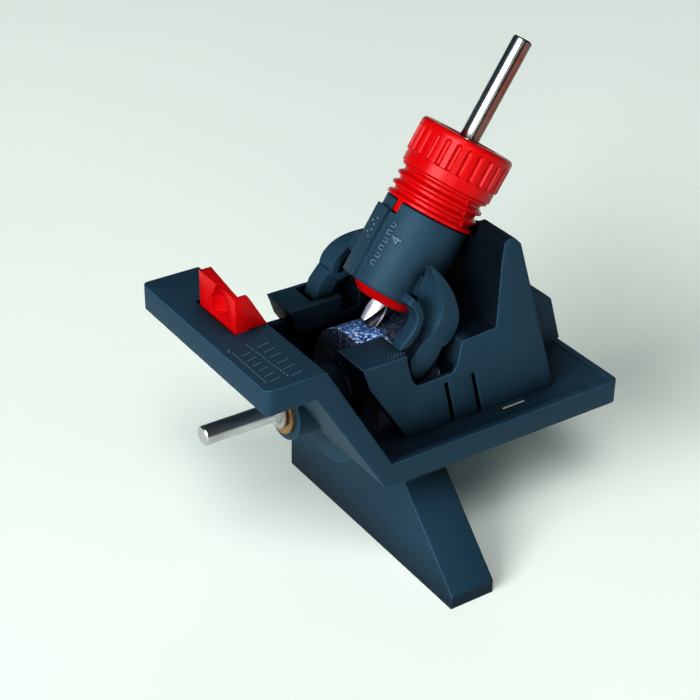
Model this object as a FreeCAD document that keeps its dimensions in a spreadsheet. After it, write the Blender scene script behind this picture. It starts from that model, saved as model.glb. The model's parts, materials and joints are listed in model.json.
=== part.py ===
import FreeCAD, Part
import math
import os

import Sketcher

# Bench drill bit sharpener driven by a power drill's chuck.
# Frame: origin at the centre of the leg's foot on the bench, +X along the grinding
# spindle away from the drive shank, +Z up, -Y the side of the near cheek.

SIZES = {
    # base frame: a raised tongue, a slanted web and a low deck, one moulding
    "plate_depth": 94.5,
    "plate_thick": 10.3,
    "tongue_left": -87.2,
    "tongue_right": -61.7,
    "tongue_top": 122.1,
    "web_foot": -31.4,
    "web_under_top": -66.1,
    "web_under_foot": -34.2,
    "deck_top": 70.5,
    "deck_right": 83.1,
    "corner_round": 3.0,
    "deck_rim": 3.2,
    "deck_sink": 0.4,
    "slit_left": 29.0,
    "slit_right": 40.3,
    "slit_y": -38.6,
    "slit_width": 1.5,
    # spindle line and its bearings
    "spindle_height": 77.2,
    "boss_left": -52.0,
    "boss_right": -27.5,
    "boss_radius": 13.0,
    "bush_radius": 8.0,
    "rear_bush_radius": 6.8,
    "bush_bore": 5.03,
    "bush_flange": 11.0,
    "bush_flange_thick": 1.5,
    "journal_radius": 5.0,
    "shank_radius": 4.0,
    "shank_left": -88.0,
    "shank_right": -57.0,
    "collar_radius": 8.2,
    "collar_left": -25.6,
    "collar_right": -24.4,
    "seat_radius": 6.0,
    "rear_journal": 29.5,
    "rear_bush_left": 31.0,
    "rear_bush_right": 43.0,
    "spindle_right": 44.5,
    "washer_thick": 1.0,
    # grinding wheel
    "wheel_radius": 24.8,
    "wheel_left": -21.9,
    "wheel_right": 20.0,
    "wheel_bore": 6.05,
    "wheel_chamfer": 0.6,
    "cavity_radius": 26.6,
    "cavity_left": -38.0,
    "cavity_right": 30.5,
    "flange_radius": 13.0,
    "flange_thick": 2.5,
    "nut_flats": 17.0,
    "nut_thick": 6.0,
    # leg
    "leg_half": 10.5,
    "foot_half": 62.0,
    "far_half": 60.2,
    "foot_edge": 6.1,
    "leg_neck": 27.0,
    "neck_height": 41.5,
    "shoulder_half": 35.0,
    "shoulder_low": 50.0,
    "shoulder_high": 54.0,
    "horn_base": 11.8,
    "horn_outer": 54.6,
    "horn_inner": 44.0,
    "horn_top": 28.3,
    "trough_inner": 26.6,
    "trough_outer": 28.6,
    "trough_gap": 0.2,
    "trough_left": -32.5,
    "trough_right": 30.5,
    "trough_wall": 2.0,
    # wheel housing: two moulded halves with cheeks and a tower
    "cheek_outer": 35.1,
    "cheek_inner": 17.3,
    "cheek_top": 108.2,
    "cheek_left": -37.5,
    "cheek_foot_left": -15.4,
    "cheek_foot_right": 57.8,
    "tower_inner": 25.5,
    "tower_top": 146.0,
    "tower_shoulder_x": 41.3,
    "tower_shoulder": 122.5,
    "sleeve_clear": 18.5,
    "cap_clear": 20.6,
    "tab_left": 1.0,
    "tab_width": 13.2,
    "tab_height": 19.5,
    "tab_lean": 5.4,
    "tab_slot": 1.9,
    "tab_slot_depth": 5.0,
    # rear cover behind the tower
    "rear_half": 20.0,
    "rear_left": 45.1,
    "rear_top": 111.0,
    "rear_bend": 66.7,
    "rear_bend_height": 101.1,
    "rear_right": 73.1,
    "rear_low": 80.0,
    # drill bit holder, drawn along its own axis from the bit's tip
    "holder_tilt": 56.5,
    "tip_x": -12.2,
    "tip_height": 102.5,
    "sleeve_radius": 18.0,
    "sleeve_bore": 15.56,
    "sleeve_low": 16.5,
    "sleeve_top": 51.5,
    "rail_reach": 19.6,
    "rail_half": 4.9,
    "rail_turn": 165.0,
    "key_turn": 18.5,
    "key_slot": 3.4,
    "key_slot_low": 46.2,
    "barrel_radius": 15.5,
    "barrel_low": 16.5,
    "thread_root": 16.7,
    "thread_crest": 18.5,
    "thread_pitch": 4.2,
    "thread_low": 51.9,
    "thread_high": 69.0,
    "collet_top": 76.0,
    "collet_bore": 10.4,
    "nose_low": 12.4,
    "nose_bore": 8.0,
    "nose_foot": 11.2,
    "jaw_bore": 4.1,
    "jaw_low": 18.0,
    "jaw_top": 77.0,
    "jaw_cone": 7.0,
    "jaw_gap": 1.2,
    "cap_low": 65.6,
    "cap_band": 70.4,
    "cap_rib_top": 81.2,
    "cap_top": 84.6,
    "cap_band_radius": 19.2,
    "cap_radius": 19.9,
    "cap_flute": 1.3,
    "cap_ribs": 26,
    "cap_dish": 14.6,
    "cap_dish_depth": 2.6,
    "cap_hole": 7.0,
    "bit_radius": 4.0,
    "bit_length": 128.5,
    "tip_gap": 0.35,
    "flute_length": 62.0,
    # cam wings and guide hooks
    "wing_front": 31.0,
    "wing_back": 22.0,
    "far_wing_trim": 2.2,
    "hook_front": 31.0,
    "hook_back": 24.6,
    "hook_thick": 3.0,
    # setting gauge on the tongue
    "gauge_left": -75.7,
    "gauge_top": 136.8,
    "gauge_ridge_far": -70.4,
    "gauge_ridge_near": -73.8,
    "gauge_rib": 2.2,
    "gauge_step": 6.6,
    "gauge_right": -61.9,
    "gauge_near": -6.2,
    "gauge_far": 21.0,
    "gauge_travel": 2.6,
    "gauge_notch": 6.3,
    "gauge_notch_y": 5.2,
    "screw_radius": 1.5,
    "screw_head": 2.9,
}


class Size:
    """A number together with the spreadsheet expression that gives it."""

    def __init__(self, value, text):
        self.value = float(value)
        self.text = text

    def _join(self, other, sign, value):
        return Size(value, f"({self.text} {sign} {other.text})")

    def __add__(self, other):
        other = as_size(other)
        return self._join(other, "+", self.value + other.value)

    def __radd__(self, other):
        return as_size(other) + self

    def __sub__(self, other):
        other = as_size(other)
        return self._join(other, "-", self.value - other.value)

    def __rsub__(self, other):
        return as_size(other) - self

    def __mul__(self, other):
        other = as_size(other)
        return self._join(other, "*", self.value * other.value)

    def __rmul__(self, other):
        return as_size(other) * self

    def __truediv__(self, other):
        other = as_size(other)
        return self._join(other, "/", self.value / other.value)

    def __neg__(self):
        return Size(-self.value, f"(-1 * {self.text})")


def as_size(number):
    if isinstance(number, Size):
        return number
    return Size(number, f"({float(number)!r})")


doc = FreeCAD.newDocument("DrillBitSharpener")
sheet = doc.addObject("Spreadsheet::Sheet", "Sizes")
for row, (alias, number) in enumerate(SIZES.items(), start=1):
    sheet.set(f"A{row}", alias)
    sheet.set(f"B{row}", repr(number))
    sheet.setAlias(f"B{row}", alias)
doc.recompute()

S = {alias: Size(sheet.get(alias), f"Sizes.{alias}") for alias in SIZES}
NODES = []
X_AXIS = FreeCAD.Vector(1, 0, 0)
Y_AXIS = FreeCAD.Vector(0, 1, 0)
Z_AXIS = FreeCAD.Vector(0, 0, 1)


# ---------------------------------------------------------------- helpers

def bind(item, prop, size):
    """Set a property to a size and keep it tied to the spreadsheet."""
    item.setExpression(prop, as_size(size).text)


def place(item, x=0.0, y=0.0, z=0.0, axis=Z_AXIS, angle=0.0):
    """Give an object its placement, each coordinate tied to the spreadsheet."""
    item.Placement = FreeCAD.Placement(FreeCAD.Vector(0, 0, 0),
                                       FreeCAD.Rotation(axis, as_size(angle).value))
    for prop, size in (("x", x), ("y", y), ("z", z)):
        bind(item, f"Placement.Base.{prop}", size)
    if isinstance(angle, Size):
        bind(item, "Placement.Rotation.Angle", angle)
    return item


def cylinder(name, radius, length, **where):
    item = doc.addObject("Part::Cylinder", name)
    bind(item, "Radius", radius)
    bind(item, "Height", length)
    return place(item, **where)


def cone(name, low_radius, high_radius, length, **where):
    item = doc.addObject("Part::Cone", name)
    bind(item, "Radius1", low_radius)
    bind(item, "Radius2", high_radius)
    bind(item, "Height", length)
    return place(item, **where)


def box(name, low, high):
    """An axis-aligned box between two corners."""
    item = doc.addObject("Part::Box", name)
    low = [as_size(v) for v in low]
    high = [as_size(v) for v in high]
    for prop, a, b in zip(("Length", "Width", "Height"), low, high):
        bind(item, prop, b - a)
    return place(item, x=low[0], y=low[1], z=low[2])


def cut(name, base, tool):
    item = doc.addObject("Part::Cut", name)
    item.Base = base
    item.Tool = tool
    return item


def fuse(name, *pieces):
    item = doc.addObject("Part::MultiFuse", name)
    item.Shapes = list(pieces)
    return item


def common(name, first, second):
    item = doc.addObject("Part::Common", name)
    item.Base = first
    item.Tool = second
    return item


def group(name, pieces):
    """Identical separate solids kept together as one compound node."""
    item = doc.addObject("Part::Compound", name)
    item.Links = list(pieces)
    return item


def node(item, label):
    item.Label = label
    NODES.append(item)
    return item


def new_body(name):
    return doc.addObject("PartDesign::Body", name)


def origin_plane(body, role):
    return next(o for o in body.Origin.OriginFeatures if o.Role == role)


def outline(body, name, role, points, offset=None):
    """A closed outline through the points, each corner held by the spreadsheet."""
    sketch = body.newObject("Sketcher::SketchObject", name)
    sketch.AttachmentSupport = [(origin_plane(body, role), "")]
    sketch.MapMode = "FlatFace"
    if offset is not None:
        bind(sketch, "AttachmentOffset.Base.z", offset)
    points = [(as_size(a), as_size(b)) for a, b in points]
    corners = [FreeCAD.Vector(a.value, b.value, 0) for a, b in points]
    count = len(corners)
    for i in range(count):
        sketch.addGeometry(Part.LineSegment(corners[i], corners[(i + 1) % count]), False)
    for i in range(count):
        sketch.addConstraint(Sketcher.Constraint("Coincident", i, 2, (i + 1) % count, 1))
    for i, (a, b) in enumerate(points):
        for kind, size in (("DistanceX", a), ("DistanceY", b)):
            if size.value == 0.0:
                line = -2 if kind == "DistanceX" else -1
                sketch.addConstraint(Sketcher.Constraint("PointOnObject", i, 1, line))
                continue
            index = sketch.addConstraint(Sketcher.Constraint(kind, -1, 1, i, 1, size.value))
            sketch.setExpression(f"Constraints[{index}]", size.text)
    return sketch


def pad(body, name, sketch, length, both_ways=False):
    item = body.newObject("PartDesign::Pad", name)
    item.Profile = sketch
    bind(item, "Length", length)
    item.Midplane = both_ways
    return item


def pocket(body, name, sketch, length, both_ways=False, reverse=False):
    item = body.newObject("PartDesign::Pocket", name)
    item.Profile = sketch
    bind(item, "Length", length)
    item.Midplane = both_ways
    item.Reversed = reverse
    return item


def turned(name, label, points):
    """A body turned about its own Z axis from a half section of radius and height."""
    body = new_body(name)
    sketch = outline(body, f"{name}Section", "XZ_Plane", points)
    item = body.newObject("PartDesign::Revolution", f"{name}Turn")
    item.Profile = sketch
    item.ReferenceAxis = (sketch, ["V_Axis"])
    item.Angle = 360.0
    return node(body, label) if label else body


def along_spindle(item, start):
    """Lay a piece drawn along Z on the spindle line, its low end at X = start."""
    return place(item, x=start, z=S["spindle_height"], axis=Y_AXIS, angle=90.0)


def on_holder(item, half_turn=0.0):
    """Stand a piece drawn along Z from the bit's tip on the holder's tilted axis."""
    lean = FreeCAD.Rotation(Y_AXIS, 90.0 - SIZES["holder_tilt"])
    item.Placement = FreeCAD.Placement(
        FreeCAD.Vector(0, 0, 0), lean.multiply(FreeCAD.Rotation(Z_AXIS, half_turn)))
    bind(item, "Placement.Base.x", S["tip_x"])
    bind(item, "Placement.Base.z", S["tip_height"])
    return item


# ---------------------------------------------------------------- base frame

def make_base_frame():
    deck_under = S["deck_top"] - S["plate_thick"]
    body = new_body("BaseBody")
    profile = outline(body, "BaseProfile", "XZ_Plane", [
        (S["tongue_left"], S["tongue_top"] - S["plate_thick"]),
        (S["web_under_top"], S["tongue_top"] - S["plate_thick"]),
        (S["web_under_foot"], deck_under),
        (S["deck_right"], deck_under),
        (S["deck_right"], S["deck_top"]),
        (S["web_foot"], S["deck_top"]),
        (S["tongue_right"], S["tongue_top"]),
        (S["tongue_left"], S["tongue_top"]),
    ])
    plate = pad(body, "BasePad", profile, S["plate_depth"], both_ways=True)
    doc.recompute()
    rounds = body.newObject("PartDesign::Fillet", "BaseCorners")
    corners = []
    for i, edge in enumerate(plate.Shape.Edges, start=1):
        middle = edge.CenterOfMass
        upright = abs(edge.tangentAt(edge.FirstParameter).z) > 0.99
        bend = abs(middle.x - SIZES["web_under_foot"]) < 0.1 and abs(middle.y) < 1.0
        if upright or bend:
            corners.append(f"Edge{i}")
    rounds.Base = (plate, corners)
    bind(rounds, "Radius", S["corner_round"])

    rim = S["deck_rim"]
    deep = S["plate_depth"] / 2 - rim
    sink = outline(body, "DeckSink", "XY_Plane", [
        (S["web_foot"] + rim, -deep),
        (S["deck_right"] - rim, -deep),
        (S["deck_right"] - rim, deep),
        (S["web_foot"] + rim, deep),
    ], offset=S["deck_top"])
    pocket(body, "DeckSinkCut", sink, S["deck_sink"])
    slit_low = S["slit_y"] - S["slit_width"] / 2
    slit_high = S["slit_y"] + S["slit_width"] / 2
    slit = outline(body, "DeckSlit", "XY_Plane", [
        (S["slit_left"], slit_low),
        (S["slit_right"], slit_low),
        (S["slit_right"], slit_high),
        (S["slit_left"], slit_high),
    ], offset=S["deck_top"])
    pocket(body, "DeckSlitCut", slit, S["plate_thick"] + 1)
    slot = outline(body, "GaugeSlot", "XY_Plane", [
        (S["gauge_left"] - 0.5, S["gauge_near"] - 0.4),
        (S["gauge_left"] + 6.2, S["gauge_near"] - 0.4),
        (S["gauge_left"] + 6.2, S["gauge_far"] + S["gauge_travel"] + 0.4),
        (S["gauge_left"] - 0.5, S["gauge_far"] + S["gauge_travel"] + 0.4),
    ], offset=S["tongue_top"])
    pocket(body, "GaugeSlotCut", slot, S["plate_thick"] + 1)

    boss = along_spindle(cylinder("FrontBoss", S["boss_radius"],
                                  S["boss_right"] - S["boss_left"]), S["boss_left"])
    blank = fuse("BaseWithBoss", body, boss)
    bore = along_spindle(cylinder("FrontBossBore", S["bush_radius"], 40), S["boss_left"] - 5)
    bored = cut("BaseBored", blank, bore)
    well = along_spindle(cylinder("WheelWell", S["cavity_radius"],
                                  S["cavity_right"] - S["boss_right"]), S["boss_right"])
    welled = cut("BaseWelled", bored, well)
    holes = [cylinder(f"DeckHole{i}", S["screw_radius"] + 0.2, 20, x=x, y=y, z=55)
             for i, (x, y) in enumerate(leg_screw_places() + housing_screw_places())]
    holes += [cylinder(f"LegHeadSeat{i}", S["screw_head"] + 0.2, 6, x=x, y=y,
                       z=S["deck_top"] - 3.4) for i, (x, y) in enumerate(leg_screw_places())]
    node(cut("BaseFrame", welled, fuse("DeckHoles", *holes)), "base_frame")


def leg_screw_places():
    return [(0.0, side * 30.6) for side in (-1, 1)]


def housing_screw_places():
    return [(x, side * 30.6) for x in (15.2, 44.0) for side in (-1, 1)]


def screw(name, x, y, z, length, head_up=True):
    """A pan-head screw standing on Z, its head's underside at height z."""
    way = 1 if head_up else -1
    turn = 0.0 if head_up else 180.0
    shaft = cylinder(f"{name}Shaft", S["screw_radius"], length, x=x, y=y,
                     z=as_size(z) - way * length, axis=X_AXIS, angle=turn)
    head = cylinder(f"{name}Head", S["screw_head"], 2.0, x=x, y=y, z=z,
                    axis=X_AXIS, angle=turn)
    blank = fuse(f"{name}Blank", shaft, head)
    drive = [box(f"{name}Drive{i}", (as_size(x) - a, as_size(y) - b, as_size(z) + way * 1.5 - 0.5),
                 (as_size(x) + a, as_size(y) + b, as_size(z) + way * 1.5 + 0.5))
             for i, (a, b) in enumerate(((1.6, 0.35), (0.35, 1.6)))]
    return cut(name, blank, fuse(f"{name}Cross", *drive))


# ---------------------------------------------------------------- leg and trough

def make_leg():
    body = new_body("LegBody")
    top = S["deck_top"] - S["plate_thick"]
    neck = S["leg_neck"]
    profile = outline(body, "LegProfile", "YZ_Plane", [
        (-S["foot_half"], 0.0),
        (S["far_half"], 0.0),
        (S["far_half"], S["horn_base"]),
        (S["horn_outer"], S["horn_top"]),
        (S["horn_inner"], S["horn_top"] - 2),
        (neck, S["neck_height"]),
        (neck, S["shoulder_low"]),
        (S["shoulder_half"], S["shoulder_high"]),
        (S["shoulder_half"], top),
        (-S["shoulder_half"], top),
        (-S["shoulder_half"], S["shoulder_high"]),
        (-neck, S["shoulder_low"]),
        (-neck, S["neck_height"]),
        (-S["foot_half"], S["foot_edge"]),
    ])
    pad(body, "LegPad", profile, 2 * S["leg_half"], both_ways=True)
    well = along_spindle(cylinder("LegWell", S["trough_outer"] + S["trough_gap"], 40), -20)
    pilots = [cylinder(f"LegPilot{i}", S["screw_radius"] + 0.02, 12, x=x, y=y, z=49.5)
              for i, (x, y) in enumerate(leg_screw_places())]
    node(cut("SupportLeg", body, fuse("LegCuts", well, *pilots)), "support_leg")
    screws = [screw(f"LegScrew{i}", x, y, S["deck_top"] - 3.4, 14)
              for i, (x, y) in enumerate(leg_screw_places())]
    node(group("LegScrews", screws), "leg_screws")


def make_trough():
    length = S["trough_right"] - S["trough_left"]
    wall = S["trough_wall"]
    shell = along_spindle(cylinder("TroughShell", S["trough_outer"], length), S["trough_left"])
    hollow = along_spindle(cylinder("TroughHollow", S["trough_inner"], length - 2 * wall),
                           S["trough_left"] + wall)
    below = box("TroughBelow", (S["trough_left"] - 1, -40, 40),
                (S["trough_right"] + 1, 40, S["deck_top"] - S["plate_thick"] - 0.05))
    node(common("WheelTrough", cut("TroughTube", shell, hollow), below), "wheel_trough")


# ---------------------------------------------------------------- wheel housing

def housing_outline(body, name, notch):
    """The cheek's side view: slanted foot, pocket for the wing's finger, tall tower."""
    return outline(body, name, "XZ_Plane", [
        (S["cheek_foot_left"], S["deck_top"] - S["deck_sink"]),
        (S["cheek_foot_right"], S["deck_top"] - S["deck_sink"]),
        (S["tower_shoulder_x"], S["tower_shoulder"]),
        (35.0, 142.4),
        (32.0, 145.4),
        (29.0, S["tower_top"]),
        (27.0, 144.4),
        (S["tower_inner"] + 0.7, 137.0),
        (S["tower_inner"], S["cheek_top"] - 0.3),
        (8.8, S["cheek_top"] - 1.6),
    ] + notch + [
        (S["cheek_left"], S["cheek_top"]),
        (S["cheek_left"] + 1.3, S["cheek_top"] - 3.3),
        (S["cheek_left"] + 3.3, S["cheek_top"] - 9.3),
    ])


NEAR_NOTCH = [(7.2, 96.2), (5.2, 93.4), (-10.6, 92.8), (-12.6, 93.8), (-14.2, 96.0),
              (-15.6, 100.0), (-17.4, 107.4), (-17.0, 108.2)]


def make_housing(side, notch, finger_pockets):
    """One half of the wheel housing. side is -1 for the near half, +1 for the far one."""
    tag = "Near" if side < 0 else "Far"
    body = new_body(f"{tag}Cheek")
    sketch = housing_outline(body, f"{tag}CheekSide", notch)
    bind(sketch, "AttachmentOffset.Base.z", -side * (S["cheek_outer"] + S["cheek_inner"]) / 2)
    pad(body, f"{tag}CheekPad", sketch, S["cheek_outer"] - S["cheek_inner"], both_ways=True)

    wall = new_body(f"{tag}Tower")
    sketch = outline(wall, f"{tag}TowerSide", "XZ_Plane", [
        (S["tower_inner"], S["deck_top"] - S["deck_sink"]),
        (S["cheek_foot_right"] - 8, S["deck_top"] - S["deck_sink"]),
        (S["tower_shoulder_x"], 115.0),
        (S["tower_shoulder_x"], S["tower_shoulder"]),
        (35.0, 142.4),
        (32.0, 145.4),
        (29.0, S["tower_top"]),
        (27.0, 144.4),
        (S["tower_inner"] + 0.7, 137.0),
        (S["tower_inner"], S["cheek_top"] - 0.3),
    ])
    reach = S["cheek_inner"] + 0.5
    bind(sketch, "AttachmentOffset.Base.z", -side * (reach / 2 + 0.05))
    pad(wall, f"{tag}TowerPad", sketch, reach - 0.1, both_ways=True)

    blank = fuse(f"{tag}Blank", body, wall)
    cuts = [
        along_spindle(cylinder(f"{tag}Cavity", S["cavity_radius"],
                               S["cavity_right"] - S["cavity_left"]), S["cavity_left"]),
        along_spindle(cylinder(f"{tag}RearBore", S["rear_bush_radius"], 30), 25),
        on_holder(cylinder(f"{tag}SleeveWay", S["sleeve_clear"], 60, z=8.0), 0.0),
        on_holder(cylinder(f"{tag}CapWay", S["cap_clear"], 60), 0.0),
    ]
    bind(cuts[2], "Placement.Base.x", S["tip_x"] + 8 * axis_cos())
    bind(cuts[2], "Placement.Base.z", S["tip_height"] + 8 * axis_sin())
    bind(cuts[3], "Placement.Base.x", S["tip_x"] + S["sleeve_top"] * axis_cos())
    bind(cuts[3], "Placement.Base.z", S["tip_height"] + S["sleeve_top"] * axis_sin())
    cuts += [box(f"{tag}FingerPocket{i}", *corners) for i, corners in enumerate(finger_pockets)]
    cuts += tab_slots(tag, side)
    cuts += [cylinder(f"{tag}Pilot{i}", S["screw_radius"] + 0.02, 13, x=x, y=y, z=66)
             for i, (x, y) in enumerate(p for p in housing_screw_places() if p[1] * side > 0)]
    cuts += [cylinder(f"{tag}HeadRoom{i}", S["screw_head"] + 0.6, 4.0, x=x, y=y,
                      z=S["deck_top"] - 2)
             for i, (x, y) in enumerate(p for p in leg_screw_places() if p[1] * side > 0)]
    cuts += [along_spindle(cylinder(f"{tag}CoverPilot{i}", S["screw_radius"] + 0.02, 14), 33)
             for i in range(1)]
    bind(cuts[-1], "Placement.Base.y", side * S["rear_half"] * 0.7)
    bind(cuts[-1], "Placement.Base.z", S["spindle_height"] + 21)
    node(cut(f"{tag}Housing", blank, fuse(f"{tag}Cuts", *cuts)), f"{tag.lower()}_housing")


def axis_cos():
    return Size(math.cos(math.radians(SIZES["holder_tilt"])), "cos(Sizes.holder_tilt)")


def axis_sin():
    return Size(math.sin(math.radians(SIZES["holder_tilt"])), "sin(Sizes.holder_tilt)")


def tab_slots(tag, side):
    """The two slanted slots that free the housing's snap tab."""
    slots = []
    for i, start in enumerate((S["tab_left"], S["tab_left"] + S["tab_width"])):
        body = new_body(f"{tag}TabSlot{i}")
        low = S["deck_top"] - 2
        high = S["deck_top"] + S["tab_height"]
        sketch = outline(body, f"{tag}TabSlotSide{i}", "XZ_Plane", [
            (start + S["tab_lean"], low),
            (start + S["tab_lean"] + S["tab_slot"], low),
            (start + S["tab_slot"], high),
            (start, high),
        ])
        bind(sketch, "AttachmentOffset.Base.z", -side * S["cheek_outer"])
        pad(body, f"{tag}TabSlotPad{i}", sketch, 2 * S["tab_slot_depth"], both_ways=True)
        slots.append(body)
    return slots


def make_housings():
    near_pockets = [((-16.6, -33.4, 86.0), (7.0, -20.2, 120.0)),
                    ((-12.5, -20.4, 101.0), (7.0, -17.0, 120.0))]
    far_pockets = [((-25.4, 20.4, 97.5), (-4.0, 33.4, 120.0)),
                   ((-12.5, 17.0, 101.0), (-4.0, 20.6, 120.0))]
    make_housing(-1, NEAR_NOTCH, near_pockets)
    make_housing(1, [(8.8, S["cheek_top"])], far_pockets)
    screws = [screw(f"HousingScrew{i}", x, y, S["deck_top"] - S["plate_thick"], 17, head_up=False)
              for i, (x, y) in enumerate(housing_screw_places())]
    node(group("HousingScrews", screws), "housing_screws")


def make_rear_cover():
    body = new_body("RearBody")
    sketch = outline(body, "RearSide", "XZ_Plane", [
        (S["cheek_foot_right"] + 0.3, S["deck_top"] - S["deck_sink"]),
        (S["rear_right"] - 8, S["deck_top"] - S["deck_sink"]),
        (S["rear_right"] - 7, S["rear_low"]),
        (S["rear_right"], S["rear_low"]),
        (S["rear_bend"], S["rear_bend_height"]),
        (54.5, S["rear_top"]),
        (S["rear_left"], S["rear_top"]),
    ])
    pad(body, "RearPad", sketch, 2 * S["rear_half"], both_ways=True)
    hollow = box("RearHollow", (52, -16.5, 74), (62, 16.5, 98))
    node(cut("RearCover", body, hollow), "rear_cover")


# ---------------------------------------------------------------- spindle group

def make_spindle():
    start = S["shank_left"]

    def at(x):
        return as_size(x) - start

    spindle = turned("Spindle", None, [
        (0.0, 0.0),
        (S["shank_radius"] - 0.6, 0.0),
        (S["shank_radius"], 0.6),
        (S["shank_radius"], at(S["shank_right"])),
        (S["journal_radius"], at(S["shank_right"])),
        (S["journal_radius"], at(S["collar_left"])),
        (S["collar_radius"], at(S["collar_left"])),
        (S["collar_radius"], at(S["collar_right"])),
        (S["seat_radius"], at(S["collar_right"])),
        (S["seat_radius"], at(S["rear_journal"])),
        (S["journal_radius"], at(S["rear_journal"])),
        (S["journal_radius"], at(S["spindle_right"])),
        (0.0, at(S["spindle_right"])),
    ])
    groove = cut("CirclipGroove", cylinder("GrooveOuter", 9, 1.1, z=at(S["boss_left"] - 3.4)),
                 cylinder("GrooveInner", 4.4, 1.1, z=at(S["boss_left"] - 3.4)))
    node(along_spindle(cut("DriveSpindle", spindle, groove), start), "drive_spindle")
    ring("SpindleCirclip", "spindle_circlip", 4.45, 7.2, S["boss_left"] - 3.35, 1.0, gap=2.4)
    ring("ThrustWasher", "thrust_washer", S["journal_radius"] + 0.05, 8.0,
         S["collar_left"] - S["washer_thick"] - 0.02, S["washer_thick"])
    flanged_bush("FrontBush", "front_bush", S["boss_left"], S["boss_right"], at_left=True)
    flanged_bush("RearBush", "rear_bush", S["rear_bush_left"], S["rear_bush_right"],
                 at_left=False)


def ring(name, label, inner, outer, start, thick, gap=0.0):
    """A flat ring on the spindle line, with a gap cut through it if asked."""
    outside = cylinder(f"{name}Outer", outer, thick)
    inside = cylinder(f"{name}Inner", inner, as_size(thick) + 2, z=-1)
    item = cut(f"{name}Ring", outside, inside)
    if gap:
        opening = box(f"{name}Gap", (-gap, 0, -1), (gap, 20, as_size(thick) + 1))
        item = cut(name, item, opening)
    return node(along_spindle(item, start), label)


def flanged_bush(name, label, left, right, at_left):
    """A plain bush in its boss, with a thrust flange against the boss's face."""
    outside = S["bush_radius"] if at_left else S["rear_bush_radius"]
    sleeve = cylinder(f"{name}Sleeve", outside, right - left)
    pieces = [sleeve]
    if at_left:
        pieces.append(cylinder(f"{name}Flange", S["bush_flange"] - 1, S["bush_flange_thick"],
                               z=-S["bush_flange_thick"]))
    bore = cylinder(f"{name}Bore", S["bush_bore"], 60, z=-20)
    blank = fuse(f"{name}Blank", *pieces) if at_left else sleeve
    node(along_spindle(cut(name, blank, bore), left), label)


def make_wheel():
    length = S["wheel_right"] - S["wheel_left"]
    chamfer = S["wheel_chamfer"]
    wheel = turned("Wheel", None, [
        (S["wheel_bore"], 0.0),
        (S["wheel_radius"] - chamfer, 0.0),
        (S["wheel_radius"], chamfer),
        (S["wheel_radius"], length - chamfer),
        (S["wheel_radius"] - chamfer, length),
        (S["wheel_bore"], length),
    ])
    node(along_spindle(wheel, S["wheel_left"]), "grinding_wheel")
    for name, label, start, big_end in (
            ("InnerFlange", "inner_flange", S["wheel_left"] - S["flange_thick"], 1),
            ("OuterFlange", "outer_flange", S["wheel_right"], 0)):
        big = S["flange_radius"]
        small = S["flange_radius"] - 2.5
        dish = cone(f"{name}Dish", small if big_end else big, big if big_end else small,
                    S["flange_thick"])
        bore = cylinder(f"{name}Bore", S["seat_radius"] + 0.05, 10, z=-3)
        node(along_spindle(cut(name, dish, bore), start), label)
    nut = doc.addObject("Part::Prism", "NutHex")
    nut.Polygon = 6
    bind(nut, "Circumradius", S["nut_flats"] / math.sqrt(3))
    bind(nut, "Height", S["nut_thick"])
    bevel = cone("NutBevel", 12.6, 8.6, 8.0, z=-2.0)
    bore = cylinder("NutBore", S["seat_radius"] + 0.05, 20, z=-5)
    piece = cut("WheelNut", common("NutBlank", nut, bevel), bore)
    node(along_spindle(piece, S["wheel_right"] + S["flange_thick"]), "wheel_nut")


# ---------------------------------------------------------------- holder group

def make_sleeve():
    low = S["sleeve_low"]
    high = S["sleeve_top"]
    barrel = turned("SleeveBarrel", None, [
        (S["sleeve_bore"], low),
        (S["sleeve_radius"] - 0.6, low),
        (S["sleeve_radius"], low + 0.6),
        (S["sleeve_radius"], high - 0.5),
        (S["sleeve_radius"] - 0.5, high),
        (S["sleeve_bore"], high),
    ])
    rail = box("SleeveRail", (10, -S["rail_half"], low + 0.4),
               (S["rail_reach"], S["rail_half"], high - 4.8))
    rail.Placement = FreeCAD.Placement(FreeCAD.Vector(0, 0, 0),
                                       FreeCAD.Rotation(Z_AXIS, SIZES["rail_turn"]))
    bind(rail, "Placement.Base.z", low + 0.4)
    turn = math.radians(SIZES["rail_turn"])
    half = SIZES["rail_half"]
    bind(rail, "Placement.Base.x", 10 * math.cos(turn) + half * math.sin(turn))
    bind(rail, "Placement.Base.y", 10 * math.sin(turn) - half * math.cos(turn))
    blank = fuse("SleeveBlank", barrel, rail)
    bore = cylinder("SleeveBoreCut", S["sleeve_bore"], 60, z=5)
    slot = key_block("SleeveKeySlot", S["key_slot"], 12, 26, S["key_slot_low"], high + 5)
    node(on_holder(cut("HolderSleeve", blank, fuse("SleeveCuts", bore, slot))),
         "holder_sleeve")


def key_block(name, width, inner, outer, low, high):
    """A block on the sleeve's rail side, used for the key and for its slot."""
    width = as_size(width)
    item = box(name, (inner, -width / 2, low), (outer, width / 2, high))
    turn = math.radians(SIZES["rail_turn"] + SIZES["key_turn"])
    item.Placement = FreeCAD.Placement(FreeCAD.Vector(0, 0, 0),
                                       FreeCAD.Rotation(Z_AXIS, SIZES["rail_turn"] + SIZES["key_turn"]))
    bind(item, "Placement.Base.x", inner * math.cos(turn) + width / 2 * math.sin(turn))
    bind(item, "Placement.Base.y", inner * math.sin(turn) - width / 2 * math.cos(turn))
    bind(item, "Placement.Base.z", low)
    return item


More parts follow.
